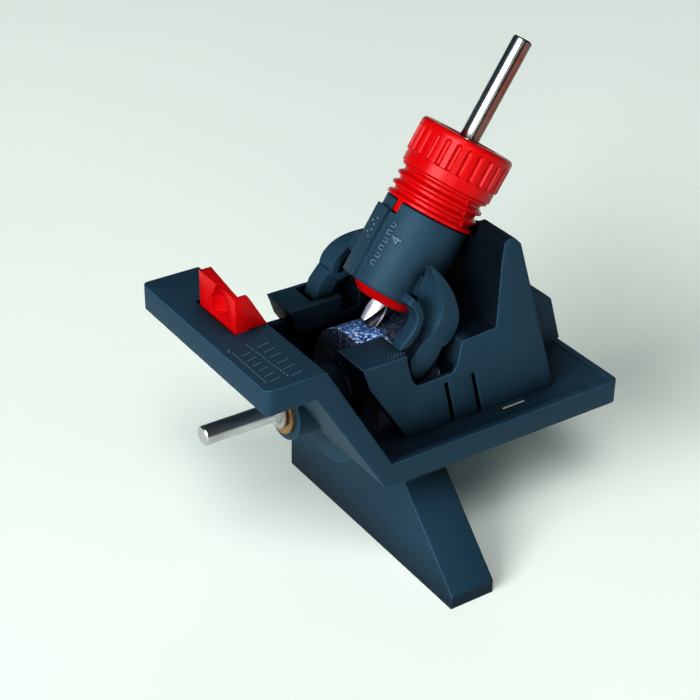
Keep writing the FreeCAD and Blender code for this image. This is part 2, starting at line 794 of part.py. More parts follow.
def make_collet():
    """Collet body: a smooth barrel inside the sleeve and a coarse ribbed thread above."""
    points = [
        (S["collet_bore"], S["barrel_low"]),
        (S["barrel_radius"], S["barrel_low"]),
        (S["barrel_radius"], S["thread_low"]),
        (S["thread_crest"], S["thread_low"]),
        (S["thread_crest"], S["thread_low"] + 1.3),
    ]
    turns = int((SIZES["thread_high"] - SIZES["thread_low"]) / SIZES["thread_pitch"])
    for i in range(turns):
        foot = S["thread_low"] + i * S["thread_pitch"]
        points += [
            (S["thread_root"], foot + 2.1),
            (S["thread_root"], foot + 3.3),
            (S["thread_crest"], foot + S["thread_pitch"]),
            (S["thread_crest"], foot + S["thread_pitch"] + 0.9),
        ]
    points += [
        (S["thread_root"], S["thread_high"] + 1.2),
        (S["thread_root"], S["collet_top"]),
        (S["collet_bore"] + 2, S["collet_top"]),
        (S["collet_bore"], S["collet_top"] - 3),
    ]
    barrel = turned("ColletBarrel", None, points)
    key = key_block("ColletKey", S["key_slot"] - 0.6, 14, 17.6, S["key_slot_low"] + 0.8,
                    S["thread_low"] + 0.5)
    node(on_holder(fuse("ColletBody", barrel, key)), "collet_body")
    node(on_holder(turned("NoseRing", None, [
        (S["nose_bore"], S["nose_low"]),
        (S["nose_foot"], S["nose_low"]),
        (S["barrel_radius"] - 0.7, S["barrel_low"]),
        (S["nose_bore"], S["barrel_low"]),
    ])), "nose_ring")


def make_jaws():
    """Four long jaws round the bit, cones at both ends, split by two crossed gaps."""
    cone_end = S["jaw_cone"]
    blank = turned("JawBlank", None, [
        (S["jaw_bore"], S["jaw_low"]),
        (cone_end, S["jaw_low"]),
        (S["collet_bore"] - 0.05, S["jaw_low"] + 8),
        (S["collet_bore"] - 0.05, S["jaw_top"] - 9),
        (cone_end, S["jaw_top"]),
        (S["jaw_bore"], S["jaw_top"]),
    ])
    gap = S["jaw_gap"] / 2
    splits = [box("JawSplitX", (-15, -gap, 10), (15, gap, 90)),
              box("JawSplitY", (-gap, -15, 10), (gap, 15, 90))]
    node(on_holder(cut("ColletJaws", blank, fuse("JawSplits", *splits))), "collet_jaws")


def make_clamp_nut():
    """Ribbed clamp nut: plain band below, rounded flutes between the ribs above it."""
    nut_bore = S["thread_crest"] + 0.06
    last_root = S["thread_low"] + 3 * S["thread_pitch"] + 2.1
    body = new_body("CapBody")
    section = outline(body, "CapSection", "XZ_Plane", [
        (nut_bore, S["cap_low"]),
        (S["cap_band_radius"] - 0.3, S["cap_low"]),
        (S["cap_band_radius"], S["cap_low"] + 0.3),
        (S["cap_band_radius"], S["cap_band"]),
        (S["cap_radius"], S["cap_band"]),
        (S["cap_radius"], S["cap_top"] - 2.0),
        (S["cap_radius"] - 2.0, S["cap_top"]),
        (S["cap_dish"], S["cap_top"]),
        (S["cap_dish"] - 1.0, S["cap_top"] - S["cap_dish_depth"]),
        (S["cap_hole"], S["cap_top"] - S["cap_dish_depth"]),
        (S["cap_hole"], S["collet_top"] + 3.4),
        (S["thread_root"] + 0.08, S["collet_top"] + 0.4),
        (S["thread_root"] + 0.08, S["thread_high"] + 1.5),
        (nut_bore, S["thread_high"] + 1.5),
        (nut_bore, last_root + 1.8),
        (S["thread_root"] + 0.9, last_root + 1.0),
        (S["thread_root"] + 0.9, last_root),
        (nut_bore, last_root - 0.7),
    ])
    turn = body.newObject("PartDesign::Revolution", "CapTurn")
    turn.Profile = section
    turn.ReferenceAxis = (section, ["V_Axis"])
    turn.Angle = 360.0
    flute_half = 1.25
    reach = S["cap_radius"] + 2
    flute = outline(body, "CapFlute", "YZ_Plane", [
        (-flute_half, S["cap_band"] + 0.7),
        (flute_half, S["cap_band"] + 0.7),
        (flute_half, S["cap_rib_top"] - 1.0),
        (0.7, S["cap_rib_top"]),
        (-0.7, S["cap_rib_top"]),
        (-flute_half, S["cap_rib_top"] - 1.0),
    ], offset=reach)
    groove = pocket(body, "CapFluteCut", flute, S["cap_flute"] + 2)
    pattern = body.newObject("PartDesign::PolarPattern", "CapFlutes")
    pattern.Originals = [groove]
    pattern.Axis = (origin_plane(body, "Z_Axis"), [""])
    pattern.Angle = 360.0
    bind(pattern, "Occurrences", S["cap_ribs"])
    body.Tip = pattern
    node(on_holder(body), "clamp_nut")


def make_drill_bit():
    """Twist drill: plain shank, two helical flutes and a pointed end at the origin."""
    radius = SIZES["bit_radius"]
    length = SIZES["bit_length"]
    fluted = SIZES["flute_length"]
    point_height = radius / math.tan(math.radians(59.0))
    blank = Part.makeCylinder(radius, length - point_height, FreeCAD.Vector(0, 0, point_height))
    blank = blank.fuse(Part.makeCone(0.0, radius, point_height))
    blank = blank.cut(Part.makeBox(20, 20, 2, FreeCAD.Vector(-10, -10, SIZES["tip_gap"] - 2)))
    pitch = 2 * math.pi * radius / math.tan(math.radians(28.0))
    helix = Part.makeHelix(pitch, fluted + 6.0, radius)
    start = FreeCAD.Vector(radius, 0, 0)
    rise = FreeCAD.Vector(0, 2 * math.pi * radius, pitch).normalize()
    circle = Part.Wire(Part.Circle(start + FreeCAD.Vector(0.35, 0, 0), rise, 2.35).toShape())
    sweep = Part.Wire(helix).makePipeShell([circle], True, True)
    sweep.translate(FreeCAD.Vector(0, 0, -6.0))
    twin = sweep.copy()
    twin.rotate(FreeCAD.Vector(0, 0, 0), Z_AXIS, 180.0)
    bit = blank.cut(sweep).cut(twin)
    item = doc.addObject("Part::Feature", "DrillBit")
    item.Shape = bit.Solids[0]
    node(on_holder(item), "drill_bit")


# Cam wing seen square on: distance right of the axis, height above the bit's tip.
CAM_LEFT_FRONT = [(-15.0, 37.0), (-8.7, 31.8), (-1.4, 26.6), (2.6, 21.4), (3.4, 16.0), (0.6, 8.4)]
CAM_LEFT_BACK = [(-9.6, 35.2), (-7.6, 32.0), (-6.6, 27.0), (-4.6, 22.4), (-0.4, 15.0), (4.6, 9.2)]
CAM_RIGHT = [(11.9, 9.6), (13.9, 16.5), (11.8, 22.2), (6.6, 27.6), (-1.0, 32.4), (-15.0, 37.0)]
FINGER_FRONT = [(2.2, 11.0), (0.0, -0.3), (3.6, -4.6), (7.4, -6.6), (9.2, -5.6), (11.1, -1.5),
                (12.4, 4.4), (11.4, 11.4)]
FINGER_BACK = [(5.2, 11.0), (4.2, -0.4), (5.8, -3.6), (7.6, -5.2), (9.2, -4.4), (11.1, -1.0),
               (12.4, 4.4), (11.4, 11.4)]
CAM_RECESS = [(8.0, 12.0), (8.8, 16.4), (7.2, 20.0), (3.4, 24.0), (-1.4, 27.2), (0.4, 22.8),
              (3.8, 17.0), (6.0, 12.6)]


def flat_points(points, y):
    return [FreeCAD.Vector(x, y, z) for x, z in points]


def polygon(points, y):
    corners = flat_points(points, y)
    return Part.makePolygon(corners + corners[:1])


def smooth_edge(points, y):
    curve = Part.BSplineCurve()
    curve.interpolate(flat_points(points, y))
    return curve.toShape()


def cam_wire(left, y, trim):
    """Closed outline of the cam: curved left edge, straight foot, curved outer edge."""
    right = [(x - trim, z) for x, z in CAM_RIGHT[:-1]] + [left[0]]
    foot = Part.makeLine(*flat_points([left[-1], right[0]], y))
    return Part.Wire([smooth_edge(left, y), foot, smooth_edge(right, y)])


def make_wing(label, half_turn, trim):
    """A cam with a recess in its inner side, a finger below it and a pad to the sleeve."""
    front = -SIZES["wing_front"]
    back = -SIZES["wing_back"]
    blade = Part.makeLoft([cam_wire(CAM_LEFT_FRONT, front, trim),
                           cam_wire(CAM_LEFT_BACK, back, trim)], True, True)
    recess = Part.Face(polygon(CAM_RECESS, back + 1.0)).extrude(FreeCAD.Vector(-trim, -4.6, 0))
    finger = Part.makeLoft([polygon(FINGER_FRONT, front + 0.5),
                            polygon(FINGER_BACK, back - 0.5)], True, True)
    pad_block = Part.makeBox(12.6, 7.0, 8.0, FreeCAD.Vector(-4.6, back - 2.2, 22.5))
    barrel = Part.makeCylinder(SIZES["sleeve_radius"], 80)
    shape = blade.cut(recess).fuse(finger).fuse(pad_block).cut(barrel).removeSplitter()
    if len(shape.Solids) != 1:
        raise RuntimeError(f"{label} came out as {len(shape.Solids)} solids")
    item = doc.addObject("Part::Feature", label)
    item.Shape = shape
    node(on_holder(item, half_turn), label)


def make_wings():
    """Two cam wings half a turn apart; the far one is trimmed a little narrower."""
    make_wing("near_cam_wing", 0.0, 0.0)
    make_wing("far_cam_wing", 180.0, SIZES["far_wing_trim"])


HOOK_PATH = [(-4.6, -1.0), (-6.2, 3.0), (-5.0, 9.5), (-6.2, 16.6), (-10.4, 20.0), (-15.0, 21.4)]


def make_hooks():
    """The guide hooks that the wings ride on: curved bars rising from the cheeks."""
    thick = SIZES["hook_thick"]
    curve = Part.BSplineCurve()
    curve.interpolate([FreeCAD.Vector(x, 0, z) for x, z in HOOK_PATH])
    samples = [curve.value(curve.FirstParameter + (curve.LastParameter - curve.FirstParameter)
                           * i / 24) for i in range(25)]
    left = []
    right = []
    for i, point in enumerate(samples):
        before = samples[max(i - 1, 0)]
        after = samples[min(i + 1, len(samples) - 1)]
        along = (after - before).normalize()
        side = FreeCAD.Vector(along.z, 0, -along.x) * (thick / 2)
        left.append(point - side)
        right.append(point + side)
    ring_points = left + right[::-1]
    face = Part.Face(Part.makePolygon(ring_points + ring_points[:1]))
    depth = SIZES["hook_front"] - SIZES["hook_back"]
    face.translate(FreeCAD.Vector(0, -SIZES["hook_front"], 0))
    bar = face.extrude(FreeCAD.Vector(0, depth, 0))
    lean = FreeCAD.Rotation(Y_AXIS, 90.0 - SIZES["holder_tilt"])
    below = Part.makeBox(200, 200, 100, FreeCAD.Vector(-100, -100, SIZES["cheek_top"] - 100))
    for label, turn in (("near_guide_hook", 0.0), ("far_guide_hook", 180.0)):
        shape = bar.copy()
        spin = lean.multiply(FreeCAD.Rotation(Z_AXIS, turn))
        shape.Placement = FreeCAD.Placement(
            FreeCAD.Vector(SIZES["tip_x"], 0, SIZES["tip_height"]), spin)
        shape = shape.cut(below)
        item = doc.addObject("Part::Feature", label)
        item.Shape = max(shape.Solids, key=lambda solid: solid.Volume)
        item.Placement = FreeCAD.Placement()
        node(item, label)


# ---------------------------------------------------------------- setting gauge

def make_gauge():
    """Red gauge: an upright wedge with a drill-shaped pocket, and a rib at its near end."""
    low = S["tongue_top"] + 0.3
    rib_inside = S["gauge_near"] + S["gauge_rib"]
    body = new_body("GaugeBody")
    sections = []
    for name, y, top_back in (("Far", S["gauge_far"], S["gauge_ridge_far"]),
                              ("Near", rib_inside, S["gauge_ridge_near"])):
        sections.append(outline(body, f"Gauge{name}Side", "XZ_Plane", [
            (S["gauge_left"], low),
            (S["gauge_right"] - 1, low),
            (top_back, S["gauge_top"]),
            (S["gauge_left"], S["gauge_top"]),
        ], offset=-y))
    wedge = body.newObject("PartDesign::AdditiveLoft", "GaugeWedge")
    wedge.Profile = sections[0]
    wedge.Sections = [sections[1]]
    wedge.Ruled = True
    rib = new_body("GaugeRibBody")
    sketch = outline(rib, "GaugeRibSide", "XZ_Plane", [
        (S["gauge_left"], low),
        (S["gauge_right"], low),
        (S["gauge_ridge_far"] + 0.4, S["gauge_top"] - 0.5),
        (S["gauge_left"], S["gauge_top"] - 0.5),
    ], offset=-(S["gauge_near"] + rib_inside) / 2)
    pad(rib, "GaugeRibPad", sketch, S["gauge_rib"], both_ways=True)
    middle = (S["gauge_near"] + S["gauge_far"]) / 2
    stem_under = S["tongue_top"] - S["plate_thick"] - 0.3
    stem = box("GaugeStem", (S["gauge_left"], S["gauge_near"], stem_under),
               (S["gauge_left"] + 5.7, S["gauge_far"], low + 1))
    blank = fuse("GaugeBlank", body, rib, stem)
    pocket_line = {"x": S["gauge_left"] - 0.5, "y": S["gauge_notch_y"]}
    barrel = cylinder("GaugePocketBarrel", S["gauge_notch"], S["gauge_step"],
                      z=low + 1.0, **pocket_line)
    point = cone("GaugePocketPoint", S["gauge_notch"], 1.8, S["gauge_top"] - low - S["gauge_step"],
                 z=low + 1.0 + S["gauge_step"], **pocket_line)
    pilot = cylinder("GaugePilot", S["screw_radius"] + 0.02, 9, x=S["gauge_left"] + 2.85,
                     y=middle, z=stem_under - 1)
    node(cut("SettingGauge", blank, fuse("GaugeCuts", barrel, point, pilot)), "setting_gauge")

    plate = box("ClipPlate", (S["gauge_left"] - 3, S["gauge_near"] + 2, stem_under - 1.6),
                (S["gauge_left"] + 9, S["gauge_far"] - 2, stem_under))
    hole = cylinder("ClipHole", S["screw_radius"] + 0.2, 6, x=S["gauge_left"] + 2.85,
                    y=middle, z=stem_under - 4)
    node(cut("GaugeClip", plate, hole), "gauge_clip")
    node(screw("GaugeScrew", S["gauge_left"] + 2.85, middle, stem_under - 1.6, 8,
               head_up=False), "gauge_screw")


def check_and_write():
    doc.recompute()
    for item in doc.Objects:
        if "Invalid" in item.State or "Error" in item.State:
            raise RuntimeError(f"{item.Name} failed: {item.State}")
    os.makedirs("parts", exist_ok=True)
    for item in NODES:
        shape = item.Shape
        if shape.isNull() or not shape.isValid() or not shape.Solids:
            raise RuntimeError(f"{item.Label} has no valid solid")
        shape.exportStep(f"parts/{item.Label}.step")
        box_low = shape.BoundBox
        print(f"{item.Label:18s} solids {len(shape.Solids):2d} volume {shape.Volume:10.1f}  "
              f"x {box_low.XMin:7.1f} {box_low.XMax:7.1f}  y {box_low.YMin:6.1f} "
              f"{box_low.YMax:6.1f}  z {box_low.ZMin:6.1f} {box_low.ZMax:6.1f}")


make_base_frame()
make_leg()
make_trough()
make_housings()
make_rear_cover()
make_spindle()
make_wheel()
make_sleeve()
make_collet()
make_jaws()
make_clamp_nut()
make_drill_bit()
make_wings()
make_hooks()
make_gauge()
check_and_write()
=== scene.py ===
import math
import json
import random

import bmesh
import bpy
from mathutils import Matrix, Vector
from mathutils.bvhtree import BVHTree

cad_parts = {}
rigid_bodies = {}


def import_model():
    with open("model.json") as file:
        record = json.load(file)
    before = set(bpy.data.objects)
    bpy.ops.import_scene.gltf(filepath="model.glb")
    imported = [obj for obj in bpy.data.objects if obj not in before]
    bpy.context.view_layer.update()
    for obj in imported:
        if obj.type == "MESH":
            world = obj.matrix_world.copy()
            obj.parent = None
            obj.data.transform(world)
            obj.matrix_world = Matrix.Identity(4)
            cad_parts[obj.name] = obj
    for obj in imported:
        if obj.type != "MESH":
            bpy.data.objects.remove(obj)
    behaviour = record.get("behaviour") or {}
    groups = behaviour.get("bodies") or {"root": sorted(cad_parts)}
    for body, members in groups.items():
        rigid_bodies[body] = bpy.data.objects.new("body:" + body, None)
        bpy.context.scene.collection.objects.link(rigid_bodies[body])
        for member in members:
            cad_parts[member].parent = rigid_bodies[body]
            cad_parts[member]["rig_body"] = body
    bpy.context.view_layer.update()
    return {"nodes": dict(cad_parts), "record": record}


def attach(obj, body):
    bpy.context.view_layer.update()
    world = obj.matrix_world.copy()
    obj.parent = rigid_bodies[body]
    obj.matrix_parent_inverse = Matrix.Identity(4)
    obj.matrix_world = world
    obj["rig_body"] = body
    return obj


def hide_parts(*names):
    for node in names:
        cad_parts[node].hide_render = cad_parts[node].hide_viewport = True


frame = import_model()

MM = 0.001
HOLDER_TILT = math.radians(56.5)
TIP = Vector((-12.2, 0.0, 102.5)) * MM
AXIS = Vector((math.cos(HOLDER_TILT), 0.0, math.sin(HOLDER_TILT)))
ACROSS = Vector((math.sin(HOLDER_TILT), 0.0, -math.cos(HOLDER_TILT)))
HOLDER = Matrix.Translation(TIP) @ Matrix((ACROSS, Vector((0, 1, 0)), AXIS)).transposed().to_4x4()
ALONG_X = Matrix.Rotation(math.radians(90.0), 4, "Y")

# Driving sizes in millimetres and turns in degrees; those of the holder's parts are in its frame.
SPINDLE_HEIGHT = 77.2
STONE_SIDES = (-21.9, 20.0)
DRILL_RADIUS = 4.0
FLUTE_LENGTH = 62.0
SLEEVE_RADIUS = 18.02
RAIL_TURN = 165.0
NUT_RADIUS = 19.9
NUT_RIBS = 26
# Near-black colour of the painted shade laid in hollows and in the holder's shadow.
PAINTED_SHADE_COLOUR = (0.0008, 0.0012, 0.003)


# ---------------------------------------------------------------- node helpers

class Shader:
    """A material's node tree with short ways to add and join nodes."""

    def __init__(self, name):
        self.material = bpy.data.materials.new(name)
        self.material.use_nodes = True
        self.nodes = self.material.node_tree.nodes
        self.links = self.material.node_tree.links
        self.nodes.clear()
        self.surface = self.nodes.new("ShaderNodeBsdfPrincipled")
        output = self.nodes.new("ShaderNodeOutputMaterial")
        self.links.new(self.surface.outputs["BSDF"], output.inputs["Surface"])
        self.coords = self.nodes.new("ShaderNodeTexCoord").outputs["Object"]

    def add(self, kind, **settings):
        node = self.nodes.new(kind)
        for key, value in settings.items():
            if hasattr(node, key):
                setattr(node, key, value)
            else:
                node.inputs[key].default_value = value
        return node

    def join(self, source, target):
        self.links.new(source, target)

    def noise(self, scale, detail=3.0, roughness=0.5, distortion=0.0):
        node = self.add("ShaderNodeTexNoise")
        self.join(self.coords, node.inputs["Vector"])
        node.inputs["Scale"].default_value = scale
        node.inputs["Detail"].default_value = detail
        node.inputs["Roughness"].default_value = roughness
        node.inputs["Distortion"].default_value = distortion
        return node.outputs["Fac"]

    def spread(self, source, low, high, low_in=0.0, high_in=1.0):
        node = self.add("ShaderNodeMapRange")
        self.join(source, node.inputs["Value"])
        node.inputs["From Min"].default_value = low_in
        node.inputs["From Max"].default_value = high_in
        node.inputs["To Min"].default_value = low
        node.inputs["To Max"].default_value = high
        return node.outputs["Result"]

    def ramp(self, source, stops):
        node = self.add("ShaderNodeValToRGB")
        self.join(source, node.inputs["Fac"])
        elements = node.color_ramp.elements
        while len(elements) < len(stops):
            elements.new(0.5)
        for element, (place, colour) in zip(elements, stops):
            element.position = place
            element.color = (*colour, 1.0)
        return node.outputs["Color"]

    def math(self, operation, first, second):
        node = self.add("ShaderNodeMath", operation=operation)
        for socket, value in zip(node.inputs, (first, second)):
            if isinstance(value, (int, float)):
                socket.default_value = value
            else:
                self.join(value, socket)
        return node.outputs["Value"]

    def mix(self, factor, first, second, blend="MIX"):
        node = self.add("ShaderNodeMix", data_type="RGBA", blend_type=blend)
        for name, value in (("Factor", factor), ("A", first), ("B", second)):
            socket = next(s for s in node.inputs if s.name == name and
                          (s.type == "RGBA" or name == "Factor" and s.type == "VALUE"))
            if isinstance(value, (int, float)):
                socket.default_value = value
            elif isinstance(value, tuple):
                socket.default_value = (*value, 1.0)
            else:
                self.join(value, socket)
        return next(s for s in node.outputs if s.type == "RGBA")

    def bump(self, layers, edge_radius=0.0):
        """Stacks height fields, pairs of a height output and its depth in millimetres,
        over edges that are rounded by edge_radius millimetres."""
        normal = None
        if edge_radius:
            rounding = self.add("ShaderNodeBevel", samples=6)
            rounding.inputs["Radius"].default_value = edge_radius * MM
            normal = rounding.outputs["Normal"]
        for height, depth in layers:
            node = self.add("ShaderNodeBump")
            node.inputs["Strength"].default_value = 1.0
            node.inputs["Distance"].default_value = depth * MM
            self.join(height, node.inputs["Height"])
            if normal is not None:
                self.join(normal, node.inputs["Normal"])
            normal = node.outputs["Normal"]
        self.join(normal, self.surface.inputs["Normal"])

    def edges(self, radius):
        """Near 1 within radius millimetres of a sharp edge, for corners worn by rubbing and
        lightened as a painted highlight.
        """
        rounding = self.add("ShaderNodeBevel", samples=6)
        rounding.inputs["Radius"].default_value = radius * MM
        geometry = self.add("ShaderNodeNewGeometry")
        dot = self.add("ShaderNodeVectorMath", operation="DOT_PRODUCT")
        self.join(rounding.outputs["Normal"], dot.inputs[0])
        self.join(geometry.outputs["Normal"], dot.inputs[1])
        return self.spread(dot.outputs["Value"], 1.0, 0.0, 0.86, 0.985)

    def painted_holder_shadow(self):
        """Painted shadow of the holder: near 1 on faces behind the stone, high up, that look back
        at it or up.
        """
        back_and_up = (-0.7, 0.0, 0.7)
        geometry = self.add("ShaderNodeNewGeometry")
        dot = self.add("ShaderNodeVectorMath", operation="DOT_PRODUCT")
        self.join(geometry.outputs["Normal"], dot.inputs[0])
        dot.inputs[1].default_value = back_and_up
        place = self.add("ShaderNodeSeparateXYZ")
        self.join(self.coords, place.inputs["Vector"])
        behind = self.spread(place.outputs["X"], 0.0, 1.0, 6.0 * MM, 14.0 * MM)
        high = self.spread(place.outputs["Z"], 0.0, 1.0, 84.0 * MM, 104.0 * MM)
        facing = self.spread(dot.outputs["Value"], 0.0, 0.9, 0.25, 0.6)
        return self.math("MULTIPLY", self.math("MULTIPLY", behind, high), facing)

    def hollows(self, reach):
        """1 on open surfaces, falling towards 0 inside hollows that are reach millimetres wide."""
        node = self.add("ShaderNodeAmbientOcclusion", samples=8)
        node.inputs["Distance"].default_value = reach * MM
        return node.outputs["AO"]


def grey_plastic(name, dark, light, roughness=0.52, edge_radius=1.3, wear_and_highlight=4.0, shade_reach=38.0):
    """Dark slate moulding: fine spark-eroded grain, faint flow marks, edges worn by rubbing and
    lightened further as a painted highlight, and near-black painted shade in the hollows and in
    the holder's shadow."""
    shader = Shader(name)
    cloud = shader.noise(22.0, 2.0, 0.4)
    colour = shader.mix(shader.spread(cloud, 0.0, 1.0, 0.1, 0.9), dark, light)
    grain = shader.noise(1900.0, 2.0, 0.6)
    speck = tuple(v * 1.5 for v in light)
    colour = shader.mix(shader.spread(grain, 0.0, 0.5, 0.5, 0.75), colour, speck)
    scuffs = shader.noise(240.0, 6.0, 0.75, 1.2)
    # Lighter colour near sharp edges: real rubbing of the edges, raised further as a painted edge
    # highlight.
    worn = shader.math("MULTIPLY", shader.edges(edge_radius * 0.6),
                       shader.spread(scuffs, 0.4, 0.9, 0.4, 0.7))
    rubbed_and_highlit = tuple(min(1.0, v * wear_and_highlight + 0.015) for v in light)
    colour = shader.mix(worn, colour, rubbed_and_highlit)
    # Painted shade: the colour falls to near black inside hollows (ambient occlusion) and in the
    # holder's shadow.
    painted_shade = shader.spread(shader.hollows(shade_reach), 0.97, 0.0, 0.30, 0.88)
    # Adds the painted shadow that the holder casts on the tower's left face and top.
    painted_shade = shader.math("MAXIMUM", painted_shade, shader.painted_holder_shadow())
    colour = shader.mix(painted_shade, colour, PAINTED_SHADE_COLOUR)
    shader.join(colour, shader.surface.inputs["Base Color"])
    gloss = shader.math("ADD", shader.spread(cloud, roughness - 0.04, roughness + 0.04),
                        shader.spread(scuffs, -0.04, 0.06))
    shader.join(gloss, shader.surface.inputs["Roughness"])
    shader.surface.inputs["Specular IOR Level"].default_value = 0.14
    shader.surface.inputs["Specular Tint"].default_value = (0.55, 0.82, 1.0, 1.0)
    shader.bump([(grain, 0.03), (shader.noise(420.0, 3.0, 0.5), 0.015)], edge_radius)
    return shader.material


def red_plastic(name):
    """Glossy red moulding: slight depth, sink marks and fine handling scratches."""
    shader = Shader(name)
    cloud = shader.noise(60.0, 3.0, 0.5)
    colour = shader.ramp(cloud, [(0.25, (0.38, 0.001, 0.002)), (0.55, (0.45, 0.0015, 0.003)),
                                 (0.8, (0.50, 0.003, 0.005))])
    shader.join(colour, shader.surface.inputs["Base Color"])
    smear = shader.noise(90.0, 5.0, 0.7, 1.5)
    shader.join(shader.spread(smear, 0.20, 0.34), shader.surface.inputs["Roughness"])
    shader.surface.inputs["Specular IOR Level"].default_value = 0.24
    shader.surface.inputs["Specular Tint"].default_value = (1.0, 0.5, 0.54, 1.0)
    sinks = shader.noise(180.0, 2.0, 0.5)
    scratches = shader.noise(2400.0, 2.0, 0.5)
    shader.bump([(sinks, 0.04), (scratches, 0.008)], 0.35)
    return shader.material


def turned_steel(name, axis, tint=(0.60, 0.60, 0.61), roughness=0.26):
    """Steel turned round the given axis: fine rings, faint stains and brighter ridges."""
    shader = Shader(name)
    mapping = shader.add("ShaderNodeMapping")
    shader.join(shader.coords, mapping.inputs["Vector"])
    mapping.inputs["Rotation"].default_value = axis
    mapping.inputs["Scale"].default_value = (6.0, 6.0, 5200.0)
    rings = shader.add("ShaderNodeTexNoise")
    shader.join(mapping.outputs["Vector"], rings.inputs["Vector"])
    rings.inputs["Scale"].default_value = 1.0
    rings.inputs["Detail"].default_value = 3.0
    stain = shader.noise(70.0, 5.0, 0.65, 0.8)
    dull = tuple(v * 0.72 for v in tint)
    colour = shader.mix(shader.spread(stain, 0.0, 1.0, 0.35, 0.7), tint, dull)
    shader.join(colour, shader.surface.inputs["Base Color"])
    shader.surface.inputs["Metallic"].default_value = 1.0
    ringed = shader.spread(rings.outputs["Fac"], roughness - 0.06, roughness + 0.07)
    gloss = shader.math("ADD", ringed, shader.spread(stain, -0.02, 0.1))
    shader.join(gloss, shader.surface.inputs["Roughness"])
    shader.bump([(rings.outputs["Fac"], 0.012)])
    return shader.material


def holder_offsets(shader):
    """How far a point lies from the holder's axis, along Y and along ACROSS."""
    inward = shader.add("ShaderNodeVectorMath", operation="SUBTRACT")
    shader.join(shader.coords, inward.inputs[0])
    inward.inputs[1].default_value = TIP
    offsets = []
    for direction in (Vector((0.0, 1.0, 0.0)), ACROSS):
        dot = shader.add("ShaderNodeVectorMath", operation="DOT_PRODUCT")
        shader.join(inward.outputs["Vector"], dot.inputs[0])
        dot.inputs[1].default_value = direction
        offsets.append(dot.outputs["Value"])
    return offsets


def shank_painted_reflections(name):
    """The drill's bright shank: faint stains, and painted reflections in stripes round it: a
    bright one, dark ones, and a red-brown streak down one side that is partly straw oxide tint and
    partly a painted reflection of the red cap.
    """
    shader = Shader(name)
    turn = shader.math("ARCTAN2", *holder_offsets(shader))
    turn = shader.spread(turn, 0.0, 1.0, -math.pi, math.pi)
    wander = shader.spread(shader.noise(60.0, 3.0, 0.5), -0.012, 0.012)
    # Painted reflections: colour set by the angle round the axis, a bright stripe, dark stripes
    # and a red-brown streak.
    colour = shader.ramp(shader.math("ADD", turn, wander), [
        (0.0, (0.86, 0.87, 0.90)), (0.105, (0.86, 0.87, 0.90)), (0.135, (0.10, 0.12, 0.14)),
        (0.17, (0.16, 0.13, 0.13)), (0.215, (0.34, 0.10, 0.07)), (0.29, (0.20, 0.06, 0.045)),
        (0.34, (0.12, 0.10, 0.10)), (0.42, (0.6, 0.6, 0.62)), (0.86, (0.5, 0.5, 0.52)),
        (0.93, (0.22, 0.2, 0.22)), (0.965, (0.8, 0.8, 0.82))])
    stain = shader.noise(90.0, 5.0, 0.65, 0.8)
    colour = shader.mix(shader.spread(stain, 0.0, 0.5, 0.45, 0.75), colour, (0.22, 0.22, 0.23))
    shader.join(colour, shader.surface.inputs["Base Color"])
    shader.surface.inputs["Metallic"].default_value = 1.0
    shader.join(shader.spread(stain, 0.16, 0.27), shader.surface.inputs["Roughness"])
    shader.bump([(shader.noise(1500.0, 2.0, 0.5), 0.003)])
    return shader.material


def ground_steel(name):
    """The fluted end of the drill: pale scratched faces, and flutes darkened as painted shade."""
    flute_shade_reach = (3.1 * MM, 3.8 * MM)
    shader = Shader(name)
    scratch = shader.noise(900.0, 4.0, 0.7, 2.0)
    stain = shader.noise(120.0, 3.0, 0.6)
    stained = shader.spread(stain, 0.0, 0.8, 0.4, 0.75)
    colour = shader.mix(stained, (0.86, 0.86, 0.95), (0.55, 0.56, 0.68))
    across, aside = holder_offsets(shader)
    reach = shader.math("SQRT", shader.math("ADD", shader.math("MULTIPLY", across, across),
                                            shader.math("MULTIPLY", aside, aside)), 0.0)
    # Painted shade: near black inside the flutes, closer to the axis than the lands.
    flute_shade = shader.spread(reach, 0.97, 0.0, *flute_shade_reach)
    colour = shader.mix(flute_shade, colour, (0.006, 0.008, 0.02))
    shader.join(colour, shader.surface.inputs["Base Color"])
    shader.surface.inputs["Metallic"].default_value = 0.75
    shader.join(shader.spread(scratch, 0.34, 0.5), shader.surface.inputs["Roughness"])
    shader.bump([(scratch, 0.006)])
    return shader.material


